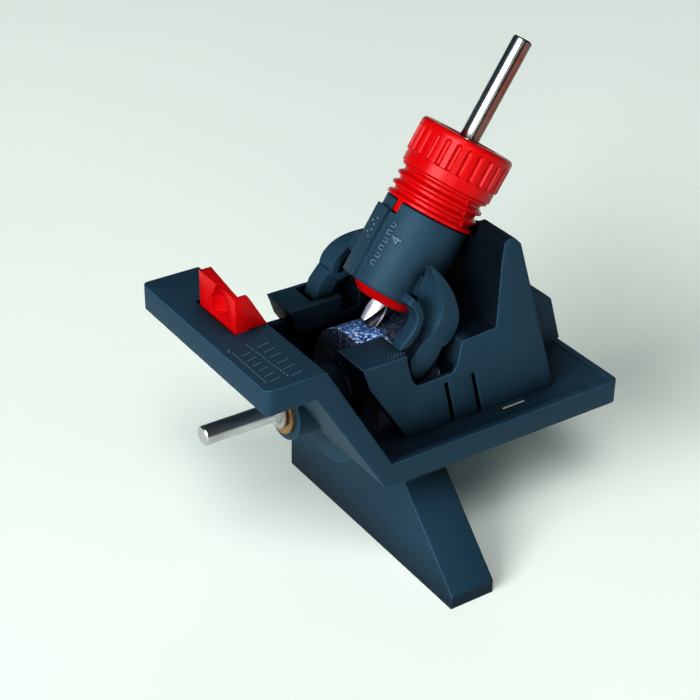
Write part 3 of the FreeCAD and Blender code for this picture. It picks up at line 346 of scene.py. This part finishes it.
def abrasive_stone(name, side_x):
    """Grinding stone: blue bond full of bright grains, darkened on the flat sides between the
    side_x places, and with painted shade on the rim behind the bit and on its lower part."""
    sleeve_shade_x = (-11.0 * MM, -7.0 * MM)
    low_rim_shade_z = (92.0 * MM, 98.0 * MM)
    shader = Shader(name)
    grains = shader.add("ShaderNodeTexVoronoi", feature="F1")
    shader.join(shader.coords, grains.inputs["Vector"])
    grains.inputs["Scale"].default_value = 1150.0
    cell = shader.add("ShaderNodeSeparateColor")
    shader.join(grains.outputs["Color"], cell.inputs["Color"])
    colour = shader.ramp(cell.outputs["Red"], [
        (0.0, (0.012, 0.03, 0.10)), (0.4, (0.04, 0.13, 0.42)), (0.7, (0.16, 0.36, 0.8)),
        (0.92, (0.75, 0.88, 1.0))])
    worn = shader.noise(140.0, 3.0, 0.6)
    colour = shader.mix(shader.spread(worn, 0.0, 0.35, 0.45, 0.7), colour, (0.02, 0.05, 0.14))
    place = shader.add("ShaderNodeSeparateXYZ")
    shader.join(shader.coords, place.inputs["Vector"])
    low, high = (v * MM for v in side_x)
    near_side = shader.spread(place.outputs["X"], 1.0, 0.0, low + 0.2 * MM, low + 0.7 * MM)
    far_side = shader.spread(place.outputs["X"], 0.0, 1.0, high - 0.7 * MM, high - 0.2 * MM)
    side = shader.math("MULTIPLY", shader.math("ADD", near_side, far_side), 0.84)
    colour = shader.mix(side, colour, (0.006, 0.009, 0.016))
    # Painted shade: the rim right of the bit, in the sleeve's shadow, and its lower part, with the
    # brightest grains left partly showing.
    rim_shade = shader.math("MAXIMUM", shader.spread(place.outputs["X"], 0.0, 0.9, *sleeve_shade_x),
                         shader.spread(place.outputs["Z"], 0.9, 0.0, *low_rim_shade_z))
    shade_between_grains = shader.spread(cell.outputs["Blue"], 1.0, 0.35, 0.93, 0.97)
    colour = shader.mix(shader.math("MULTIPLY", rim_shade, shade_between_grains), colour, (0.010, 0.013, 0.022))
    shader.join(colour, shader.surface.inputs["Base Color"])
    dull = shader.spread(cell.outputs["Green"], 0.35, 0.95)
    shader.join(dull, shader.surface.inputs["Roughness"])
    shader.surface.inputs["Specular IOR Level"].default_value = 0.3
    shader.bump([(grains.outputs["Distance"], 0.25), (cell.outputs["Blue"], 0.14),
                 (shader.noise(500.0, 4.0, 0.7), 0.12)])
    return shader.material


def bronze(name):
    """Oil-filled sintered bronze: warm, porous and slightly dark."""
    shader = Shader(name)
    pores = shader.noise(1800.0, 4.0, 0.7)
    colour = shader.ramp(pores, [(0.3, (0.16, 0.09, 0.04)), (0.6, (0.48, 0.3, 0.14))])
    shader.join(colour, shader.surface.inputs["Base Color"])
    shader.surface.inputs["Metallic"].default_value = 1.0
    shader.join(shader.spread(pores, 0.5, 0.3), shader.surface.inputs["Roughness"])
    shader.bump([(pores, 0.03)])
    return shader.material


# ---------------------------------------------------------------- meshes

def finish_piece(name, mesh, body, material, nodes=(), sharp=32.0):
    """Puts a finished mesh in the scene on its body, painted, in place of the CAD nodes."""
    piece = bpy.data.objects.new(name, mesh)
    bpy.context.scene.collection.objects.link(piece)
    for polygon in mesh.polygons:
        polygon.use_smooth = True
    mesh.set_sharp_from_angle(angle=math.radians(sharp))
    mesh.materials.clear()
    mesh.materials.append(material)
    if nodes:
        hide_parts(*nodes)
    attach(piece, body)
    return piece


def mesh_from(name, points, faces, matrix=None):
    """A mesh from points in millimetres, with its faces turned outwards."""
    mesh = bpy.data.meshes.new(name)
    mesh.from_pydata([Vector(p) * MM for p in points], [], faces)
    work = bmesh.new()
    work.from_mesh(mesh)
    bmesh.ops.recalc_face_normals(work, faces=work.faces)
    work.to_mesh(mesh)
    work.free()
    if matrix is not None:
        mesh.transform(matrix)
    return mesh


def rings(name, rows, matrix=None, closed=False):
    """Skins equal rings of points: closed joins the last ring to the first, else both ends
    are capped."""
    count = len(rows[0])
    points = [p for row in rows for p in row]
    faces = []
    for row in range(len(rows) - (0 if closed else 1)):
        after = (row + 1) % len(rows)
        for i in range(count):
            j = (i + 1) % count
            faces.append((row * count + i, row * count + j, after * count + j, after * count + i))
    if not closed:
        for row in (0, len(rows) - 1):
            middle = sum((Vector(p) for p in rows[row]), Vector()) / count
            points.append(middle)
            for i in range(count):
                faces.append((row * count + i, row * count + (i + 1) % count, len(points) - 1))
    return mesh_from(name, points, faces, matrix)


def filleted(corners):
    """A closed profile of (radius, height, corner rounding) as points with rounded corners."""
    steps = 5
    made = []
    for index, (x, z, rounding) in enumerate(corners):
        here = Vector((x, z))
        before = Vector(corners[index - 1][:2])
        after = Vector(corners[(index + 1) % len(corners)][:2])
        if rounding <= 0.0:
            made.append(here)
            continue
        start = here + (before - here).normalized() * rounding
        end = here + (after - here).normalized() * rounding
        for step in range(steps + 1):
            t = step / steps
            made.append(start * (1 - t) ** 2 + here * 2 * t * (1 - t) + end * t ** 2)
    return made


def subdivided(profile, longest, low, high):
    """Adds points along the profile's outer wall between two heights, for fine detail."""
    made = []
    for index, here in enumerate(profile):
        after = profile[(index + 1) % len(profile)]
        made.append(here)
        gap = (after - here).length
        if gap > longest and min(here.y, after.y) >= low - 0.01 and max(here.y, after.y) <= high:
            pieces = math.ceil(gap / longest)
            made.extend(here.lerp(after, k / pieces) for k in range(1, pieces))
    return made


def carve(mesh, cutters):
    """The mesh with other meshes cut out of it."""
    base = bpy.data.objects.new("carved", mesh)
    bpy.context.scene.collection.objects.link(base)
    tools = []
    for index, cutter in enumerate(cutters):
        tool = bpy.data.objects.new(f"cutter{index}", cutter)
        bpy.context.scene.collection.objects.link(tool)
        tools.append(tool)
        step = base.modifiers.new(f"cut{index}", "BOOLEAN")
        step.operation = "DIFFERENCE"
        step.solver = "EXACT"
        step.object = tool
    depsgraph = bpy.context.evaluated_depsgraph_get()
    made = bpy.data.meshes.new_from_object(base.evaluated_get(depsgraph))
    for item in [base, *tools]:
        bpy.data.objects.remove(item)
    return made


def block(name, size, matrix):
    """A box mesh of size in millimetres, centred, then moved by the matrix."""
    x, y, z = (v / 2 for v in size)
    points = [(i, j, k) for k in (-z, z) for j in (-y, y) for i in (-x, x)]
    faces = [(0, 1, 3, 2), (4, 5, 7, 6), (0, 1, 5, 4), (2, 3, 7, 6), (0, 2, 6, 4), (1, 3, 7, 5)]
    return mesh_from(name, points, faces, matrix)


def bevelled(name, meshes, width, segments):
    """One mesh made of several, with every edge rounded by width millimetres."""
    work = bmesh.new()
    for mesh in meshes:
        work.from_mesh(mesh)
    bmesh.ops.bevel(work, geom=work.edges[:], offset=width * MM, segments=segments,
                    affect="EDGES")
    made = bpy.data.meshes.new(name)
    work.to_mesh(made)
    work.free()
    return made


def around(turn, reach, height):
    """The holder's own place at an angle, distance from its axis and height, facing outwards."""
    return HOLDER @ Matrix.Rotation(math.radians(turn), 4, "Z") @ Matrix.Translation(
        Vector((reach, 0.0, height)) * MM)


def rounded_copy(node, width, cutters=()):
    """A copy of a CAD node, cut by the cutters, whose sharp edges are rounded, in its place."""
    source = frame["nodes"][node]
    mesh = source.data.copy()
    work = bmesh.new()
    work.from_mesh(mesh)
    bmesh.ops.remove_doubles(work, verts=work.verts, dist=1e-6)
    work.to_mesh(mesh)
    if cutters:
        mesh = carve(mesh, cutters)
        work.clear()
        work.from_mesh(mesh)
    bmesh.ops.dissolve_limit(work, angle_limit=math.radians(1.0), verts=work.verts,
                             edges=work.edges)
    work.to_mesh(mesh)
    work.free()
    piece = bpy.data.objects.new(f"{node}_rounded", mesh)
    bpy.context.scene.collection.objects.link(piece)
    bevel = piece.modifiers.new("round", "BEVEL")
    bevel.width = width * MM
    bevel.segments = 3
    bevel.limit_method = "ANGLE"
    bevel.angle_limit = math.radians(28.0)
    bevel.use_clamp_overlap = True
    depsgraph = bpy.context.evaluated_depsgraph_get()
    final = bpy.data.meshes.new_from_object(piece.evaluated_get(depsgraph))
    bpy.data.objects.remove(piece)
    return finish_piece(f"{node}_rounded", final, source["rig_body"],
                        NODE_MATERIALS[SLOTS[node]], [node], 30.0)


def paint(piece, material):
    """Gives a piece one material in place of what it had."""
    piece.data.materials.clear()
    piece.data.materials.append(material)


# ---------------------------------------------------------------- single pieces

def make_clamp_nut():
    """The ribbed nut: rounded shoulder, dished top, scooped flutes with rounded upper ends."""
    collar, top = 70.4, 84.6
    profile = filleted([
        (18.62, 65.6, 0.2), (19.2, 65.6, 0.5), (19.2, collar, 0.12), (NUT_RADIUS, collar, 0.3),
        (NUT_RADIUS, top, 2.1), (12.2, top, 0.9), (11.3, 80.4, 0.3), (7.0, 80.4, 0.3),
        (7.0, 79.4, 0.0), (16.8, 76.4, 0.0), (16.8, 71.2, 0.0), (18.62, 70.2, 0.0),
    ])
    profile = subdivided(profile, 0.3, collar, top)
    steps = NUT_RIBS * 20
    half_width, depth = 1.2, 1.0
    foot, crown = 70.5, 80.3
    inner_wall = 17.0
    rows = []
    for spot in profile:
        row = []
        for i in range(steps):
            turn = 2 * math.pi * i / steps
            reach = spot.x
            if reach > inner_wall and spot.y > foot:
                off = (turn / (2 * math.pi) * NUT_RIBS + 0.5) % 1.0 - 0.5
                off *= 2 * math.pi * NUT_RADIUS / NUT_RIBS
                rise = max(0.0, spot.y - crown)
                room = 1.0 - (off / half_width) ** 2 - (rise / half_width) ** 2
                if room > 0.0:
                    fade = min(1.0, (spot.y - foot) / 0.25)
                    reach -= depth * math.sqrt(room) * fade
            row.append((reach * math.cos(turn), reach * math.sin(turn), spot.y))
        rows.append(row)
    mesh = rings("clamp_nut_fluted", rows, HOLDER, closed=True)
    finish_piece("clamp_nut_fluted", mesh, "clamp_nut", RED, ["clamp_nut"], 50.0)


def drill_section():
    """Half a twist drill's section as (x, y): a land with its margin, then a scooped flute."""
    centre, scoop = 4.0, 2.85
    margin_turn, relief = 0.2, 0.13
    land_steps, flute_steps = 27, 24
    edge = math.acos((DRILL_RADIUS ** 2 + centre ** 2 - scoop ** 2) / (2 * DRILL_RADIUS * centre))
    made = []
    for k in range(land_steps + 1):
        turn = edge + (math.pi - 2 * edge) * k / land_steps
        reach = DRILL_RADIUS if turn < edge + margin_turn else DRILL_RADIUS - relief
        made.append((reach * math.cos(turn), reach * math.sin(turn)))
    corner = (DRILL_RADIUS * math.cos(edge), DRILL_RADIUS * math.sin(edge))
    mouth = math.pi - math.atan2(corner[1], corner[0] - centre)
    for k in range(1, flute_steps):
        turn = mouth * (1 - 2 * k / flute_steps)
        made.append((-centre + scoop * math.cos(turn), scoop * math.sin(turn)))
    return made


def make_drill_bit():
    """Twist drill: ground point, two helical flutes that run out into a bright shank."""
    half = drill_section()
    section = half + [(-x, -y) for x, y in half]
    pitch, twist_end = 47.3, 66.0
    start = math.radians(42.0)
    slope = math.tan(math.radians(59.0))
    web_height = 0.36
    lip_height, row_step = 2.6, 0.6
    runout_steps, runout_rise = 11, 1.1
    shank_top, chamfer = 127.5, 0.6

    def ring(height, depth):
        """The section at a height, or on the point's cone if that is None; depth 1 is fully
        fluted and 0 is round."""
        row = []
        for x, y in section:
            reach = math.hypot(x, y)
            turn = math.atan2(y, x)
            shown = reach + (DRILL_RADIUS - reach) * (1.0 - depth)
            z = max(shown / slope, web_height) if height is None else height
            twist = start + 2 * math.pi * min(z, twist_end) / pitch
            row.append((shown * math.cos(turn + twist), shown * math.sin(turn + twist), z))
        return row

    point = ring(None, 1.0)
    rows = [[(x * 0.08, y * 0.08, web_height) for x, y, _ in point], point]
    height = lip_height
    while height < FLUTE_LENGTH:
        rows.append(ring(height, 1.0))
        height += row_step
    for k in range(1, runout_steps + 1):
        depth = math.cos(math.pi / 2 * k / runout_steps)
        rows.append(ring(FLUTE_LENGTH + k * runout_rise, depth))
    rows.append(ring(shank_top, 0.0))
    rows.append([(x * 0.85, y * 0.85, z) for x, y, z in ring(shank_top + chamfer, 0.0)])
    mesh = rings("twist_drill", rows, HOLDER)
    finish_piece("twist_drill", mesh, "drill_bit", DRILL_STEEL, ["drill_bit"], 26.0)
    mesh.materials.append(FLUTE_STEEL)
    inward = HOLDER.inverted()
    for polygon in mesh.polygons:
        if (inward @ polygon.center).z < FLUTE_LENGTH * MM:
            polygon.material_index = 1


def make_stone():
    """The wheel with crumbled grains on its rim and slightly broken edges."""
    left, right = STONE_SIDES
    rim, inset = 24.68, 0.55
    steps, along = 300, 56
    chance = random.Random(11)
    side = [(6.05, 0.0, 0.0), (14.0, 0.0, 0.04), (20.0, 0.0, 0.08), (23.9, 0.0, 0.1),
            (24.5, 0.15, 0.14)]
    spots = [(reach, left + step, rough) for reach, step, rough in side]
    spots += [(rim, left + inset + (right - left - 2 * inset) * k / along, 0.12)
              for k in range(along + 1)]
    spots += [(reach, right - step, rough) for reach, step, rough in reversed(side)]
    rows = []
    for reach, place, rough in spots:
        row = []
        for i in range(steps):
            turn = 2 * math.pi * i / steps
            here = reach + chance.uniform(-rough, rough * 0.6)
            row.append((here * math.cos(turn), here * math.sin(turn), place))
        rows.append(row)
    matrix = Matrix.Translation(Vector((0.0, 0.0, SPINDLE_HEIGHT)) * MM) @ ALONG_X
    mesh = rings("rough_stone", rows, matrix, closed=True)
    finish_piece("rough_stone", mesh, "spindle", STONE, ["grinding_wheel"], 60.0)


def make_mould_seam():
    """The thin flash line that the mould leaves across the collet's thread."""
    chance = random.Random(3)
    foot, rise, steps = 52.2, 12.6, 24
    rows = []
    for k in range(steps + 1):
        height = foot + rise * k / steps
        lean = -82.0 - (height - foot) * 1.15
        wide = 0.28 + chance.uniform(-0.06, 0.06)
        deep = 17.9 + 0.25 * math.sin(k * 2.1)
        row = []
        for side, reach in ((-wide, 16.2), (wide, 16.2), (wide * 0.6, deep), (-wide * 0.6, deep)):
            turn = math.radians(lean) + side / 17.5
            row.append((reach * math.cos(turn), reach * math.sin(turn), height))
        rows.append(row)
    mesh = rings("thread_mould_seam", rows, HOLDER)
    finish_piece("thread_mould_seam", mesh, "collet", RED)


def make_rail_pips():
    """Raised domed pips on the sleeve's rail, each placed aside of its middle and up it."""
    rail = HOLDER @ Matrix.Rotation(math.radians(RAIL_TURN), 4, "Z")
    rail_top = 19.55
    places = [(1.7, 33.4), (1.9, 36.3), (1.6, 38.4), (1.8, 41.3), (-0.6, 34.8), (-0.8, 39.6)]
    dome = [(0.7, 0.0), (0.66, 0.3), (0.5, 0.5), (0.2, 0.6)]
    turns = [2 * math.pi * i / 14 for i in range(14)]
    rows = [[(reach * math.cos(turn), reach * math.sin(turn), rise) for turn in turns]
            for reach, rise in dome]
    for index, (aside, height) in enumerate(places):
        spot = rail @ Matrix.Translation(Vector((rail_top, aside, height)) * MM) @ ALONG_X
        pip = rings("pip", rows, spot)
        finish_piece(f"rail_pip_{index}", pip, "holder", SLATE_MARKS)


def make_size_number():
    """The sleeve's raised size number, wrapped round it."""
    words = bpy.data.curves.new("size_number", "FONT")
    words.body = "4"
    words.size = 6.2 * MM
    words.extrude = 0.35 * MM
    words.bevel_depth = 0.08 * MM
    words.align_x = "CENTER"
    words.align_y = "CENTER"
    source = bpy.data.objects.new("size_number", words)
    bpy.context.scene.collection.objects.link(source)
    depsgraph = bpy.context.evaluated_depsgraph_get()
    mesh = bpy.data.meshes.new_from_object(source.evaluated_get(depsgraph))
    bpy.data.objects.remove(source)
    middle_turn, middle_height = math.radians(-152.0), 37.6 * MM
    reach = SLEEVE_RADIUS * MM
    for vertex in mesh.vertices:
        read, rise, out = vertex.co
        turn = middle_turn - rise / reach
        far = reach + out + 0.12 * MM
        height = middle_height + read
        vertex.co = HOLDER @ Vector((far * math.cos(turn), far * math.sin(turn), height))
    finish_piece("sleeve_size_number", mesh, "holder", SLATE_MARKS)


def make_sleeve_dashes():
    """Plain raised dashes on the sleeve in place of lettering, each set two bars and a third
    across one end of them."""
    middle_turn, foot, pitch = -166.0, 25.0, 3.3
    dashes = []
    for k in range(6):
        height = foot + pitch * k
        other_end = k % 2
        bars = [(middle_turn, height, 2.2, 0.5),
                (middle_turn, height + 1.5, 2.2 - 0.7 * other_end, 0.5),
                (middle_turn - 3.2 + 6.4 * other_end, height + 0.75, 0.5, 1.6)]
        dashes += [block("dash", (0.7, across, along), around(turn, SLEEVE_RADIUS, place))
                   for turn, place, across, along in bars]
    mesh = bevelled("sleeve_dashes", dashes, 0.1, 2)
    finish_piece("sleeve_dashes", mesh, "holder", SLATE_MARKS)


def make_raised_marks(name, node, body, marks):
    """Low raised dashes moulded on a CAD node's top: each is a place, a length, a width and
    a turn."""
    surface = frame["nodes"][node].data
    corners = [v.co for v in surface.vertices]
    tree = BVHTree.FromPolygons(corners, [p.vertices for p in surface.polygons])
    above, down = 0.3, Vector((0, 0, -1))
    dashes = []
    for x, y, length, width, turn in marks:
        place, normal, *_ = tree.ray_cast(Vector((x * MM, y * MM, above)), down)
        lean = normal.to_track_quat("Z", "Y").to_matrix().to_4x4()
        matrix = Matrix.Translation(place) @ lean @ Matrix.Rotation(math.radians(turn), 4, "Z")
        dashes.append(block("dash", (length, width, 0.5), matrix))
    mesh = bevelled(name, dashes, 0.12, 2)
    finish_piece(name, mesh, body, SLATE_MARKS)


def make_tongue_and_cheek_marks():
    """Plain dashes where the tongue and the near cheek carry raised lettering."""
    chance = random.Random(5)
    marks = [(-84.0, -15.6, 2.4, 0.7, 70.0)]
    marks += [(-83.6, -18.2 - k * 1.62, 0.55, 1.15, 0.0) for k in range(15)]
    marks += [(-76.2 + 0.12 * k, -15.8 - k * 1.95, 0.5, 1.2, 0.0) for k in range(14)]
    for k in range(6):
        marks.append((-79.8, -21.0 - k * 4.1 + chance.uniform(-0.4, 0.4), 4.6, 0.45, 12.0))
    for k in range(6):
        marks.append((-71.0, -18.0 - k * 4.7 + chance.uniform(-0.4, 0.4), 5.4, 0.5, 12.0))
    make_raised_marks("tongue_raised_marks", "base_frame", "root", marks)
    cheek = [(-24.5 + 1.5 * k, -33.0 + 0.1 * k, 0.8, 0.5, 30.0) for k in range(6)]
    cheek += [(-23.6 + 1.5 * k, -31.4, 0.5, 0.5, 0.0) for k in range(5)]
    make_raised_marks("cheek_raised_marks", "near_housing", "root", cheek)


def make_splash_guard():
    """The thin wall that closes the gap between the web and the far cheek. Known fault: its
    inner face stands 0.7 mm too far in, so the stone's rim cuts into it."""
    inner, outer = 24.0, 26.6
    top, foot = 101.0, 70.4
    outline = [(-49.6, top), (-34.8, top), (-15.4, foot), (-31.6, foot)]
    points = [(x, y, z) for y in (inner, outer) for x, z in outline]
    faces = [(0, 1, 2, 3), (4, 5, 6, 7)]
    faces += [(k, (k + 1) % 4, (k + 1) % 4 + 4, k + 4) for k in range(4)]
    mesh = bevelled("splash_guard", [mesh_from("plate", points, faces)], 0.5, 3)
    finish_piece("splash_guard", mesh, "root", SLATE)


def make_slit_highlight():
    """Painted highlight: a pale strip along the upper edge of the slit in the deck."""
    matrix = Matrix.Translation(Vector((34.65, -38.2, 69.87)) * MM)
    mesh = block("deck_slit_highlight", (11.0, 0.7, 0.5), matrix)
    finish_piece("deck_slit_highlight", mesh, "root", SLIT_HIGHLIGHT_PAINT)


# ---------------------------------------------------------------- materials

SLATE = grey_plastic("slate_plastic", (0.0130, 0.037, 0.062), (0.0160, 0.044, 0.072))
SLATE_HOLDER = grey_plastic("slate_plastic_holder", (0.0165, 0.043, 0.070), (0.0195, 0.050, 0.079),
                            roughness=0.42, edge_radius=0.4, wear_and_highlight=1.8)
SLATE_WING = grey_plastic("slate_plastic_wing", (0.014, 0.040, 0.068), (0.017, 0.046, 0.072),
                          roughness=0.46, edge_radius=0.45, wear_and_highlight=3.0, shade_reach=9.0)
SLATE_MARKS = grey_plastic("slate_plastic_marks", (0.060, 0.105, 0.145), (0.105, 0.155, 0.195),
                           roughness=0.36, edge_radius=0.1)
# Pale colour for the painted highlight in the deck's slit.
SLIT_HIGHLIGHT_PAINT = grey_plastic("slit_highlight_plastic", (0.50, 0.52, 0.50), (0.62, 0.63, 0.60),
                       roughness=0.5, edge_radius=0.1)
RED = red_plastic("red_plastic_gloss")
SPINDLE_STEEL = turned_steel("spindle_steel", (0.0, math.radians(90.0), 0.0))
DRILL_STEEL = shank_painted_reflections("drill_shank_steel")
SCREW_STEEL = turned_steel("screw_steel", (0.0, 0.0, 0.0), (0.5, 0.5, 0.51), 0.34)
FLUTE_STEEL = ground_steel("flute_steel")
STONE = abrasive_stone("abrasive_stone", STONE_SIDES)
BRONZE = bronze("bush_bronze")

NODE_MATERIALS = {
    "grey_plastic": SLATE, "red_plastic": RED, "bright_steel": SPINDLE_STEEL,
    "screw_steel": SCREW_STEEL, "bronze": BRONZE, "stone": STONE, "drill_steel": DRILL_STEEL,
}
# Each CAD node that is shown with rounded edges, and their width in millimetres.
ROUNDED = {
    "base_frame": 1.1, "support_leg": 1.0, "near_housing": 0.8, "far_housing": 0.8,
    "rear_cover": 1.0, "wheel_trough": 0.5, "near_cam_wing": 0.5, "far_cam_wing": 0.5,
    "near_guide_hook": 0.45, "far_guide_hook": 0.45, "setting_gauge": 0.45,
    "collet_body": 0.3, "nose_ring": 0.3, "gauge_clip": 0.3,
}
SLOTS = {entry["node"]: entry["material_slot"] for entry in frame["record"]["subparts"]}
for node, item in frame["nodes"].items():
    paint(item, NODE_MATERIALS[SLOTS[node]])

# The near hook's outer side is shaved so that the wing clears it at the holder's low limit.
relief_place = Matrix.Translation(Vector((-12.0, -31.05, 119.0)) * MM)
hook_relief = block("relief", (16.0, 1.0, 30.0), relief_place)
for node, width in ROUNDED.items():
    made = rounded_copy(node, width, cutters=[hook_relief] if node == "near_guide_hook" else ())
    if "wing" in node:
        paint(made, SLATE_WING)

groove_place = around(RAIL_TURN, 19.0, 34.0) @ Matrix.Translation(Vector((0.0, 4.9, 0.0)) * MM)
rail_groove = block("groove", (3.0, 0.8, 40.0), groove_place)
paint(rounded_copy("holder_sleeve", 0.45, cutters=[rail_groove]), SLATE_HOLDER)
make_clamp_nut()
make_drill_bit()
make_stone()
make_mould_seam()
make_rail_pips()
make_size_number()
make_sleeve_dashes()
make_tongue_and_cheek_marks()
make_splash_guard()
make_slit_highlight()


# ---------------------------------------------------------------- stage

def make_floor():
    """A wide pale bench top at the foot's height."""
    mesh = bpy.data.meshes.new("floor")
    reach = 12.0
    corners = ((-reach, -reach), (reach, -reach), (reach, reach), (-reach, reach))
    work = bmesh.new()
    work.faces.new([work.verts.new((x, y, 0.0)) for x, y in corners])
    work.to_mesh(mesh)
    work.free()
    floor = bpy.data.objects.new("floor", mesh)
    bpy.context.scene.collection.objects.link(floor)
    shader = Shader("pale_floor")
    cloud = shader.noise(3.0, 4.0, 0.55)
    patches = shader.spread(cloud, 0.0, 1.0, 0.3, 0.7)
    colour = shader.mix(patches, (0.855, 0.925, 0.875), (0.885, 0.94, 0.90))
    shader.join(colour, shader.surface.inputs["Base Color"])
    shader.surface.inputs["Roughness"].default_value = 0.75
    paint(floor, shader.material)


def softbox(name, place, target, size, power, colour):
    """A rectangular light in metres and watts, turned towards its target."""
    data = bpy.data.lights.new(name, "AREA")
    data.shape = "RECTANGLE"
    data.size, data.size_y = size
    data.energy = power
    data.color = colour
    lamp = bpy.data.objects.new(name, data)
    bpy.context.scene.collection.objects.link(lamp)
    lamp.location = place
    lamp.rotation_euler = (Vector(target) - Vector(place)).to_track_quat("-Z", "Y").to_euler()


def make_lights():
    """Four softboxes round the part and a faint blue fill from everywhere."""
    middle = (0.0, 0.0, 0.08)
    softbox("key", (-2.30, -3.20, 5.20), middle, (2.2, 2.2), 222.0, (1.0, 0.99, 0.955))
    softbox("low", (-2.90, -4.40, 1.30), middle, (2.4, 1.2), 55.0, (1.0, 1.0, 0.86))
    softbox("side", (-5.20, -1.80, 2.75), middle, (4.2, 1.9), 500.0, (0.98, 0.99, 0.98))
    softbox("back", (4.60, 3.80, 3.40), middle, (3.0, 2.4), 30.0, (0.80, 0.92, 1.0))
    world = bpy.data.worlds.new("studio")
    world.use_nodes = True
    world.node_tree.nodes["Background"].inputs["Color"].default_value = (0.45, 0.85, 1.0, 1.0)
    world.node_tree.nodes["Background"].inputs["Strength"].default_value = 0.05
    bpy.context.scene.world = world


def make_camera():
    """A camera above the near left corner, with a slight roll and shift."""
    azimuth = math.radians(-33.89)
    elevation = math.radians(31.09)
    roll = math.radians(0.87)
    level = math.cos(elevation)
    back = Vector((math.sin(azimuth) * level, -math.cos(azimuth) * level, math.sin(elevation)))
    right = Vector((math.cos(azimuth), math.sin(azimuth), 0.0))
    up = back.cross(right)
    turned_right = right * math.cos(roll) + up * math.sin(roll)
    turned_up = back.cross(turned_right)
    data = bpy.data.cameras.new("camera")
    data.sensor_width = 36.0
    data.lens = 88.28
    data.shift_x = 0.0035
    data.shift_y = -0.0039
    data.clip_start = 0.01
    data.clip_end = 50.0
    camera = bpy.data.objects.new("camera", data)
    bpy.context.scene.collection.objects.link(camera)
    place = Vector((-347.8, -486.2, 448.9)) * MM
    rotation = Matrix((turned_right, turned_up, back)).transposed().to_4x4()
    camera.matrix_world = Matrix.Translation(place) @ rotation
    bpy.context.scene.camera = camera


make_floor()
make_lights()
make_camera()
bpy.context.scene.view_settings.view_transform = "Standard"
bpy.context.scene.view_settings.gamma = 0.85
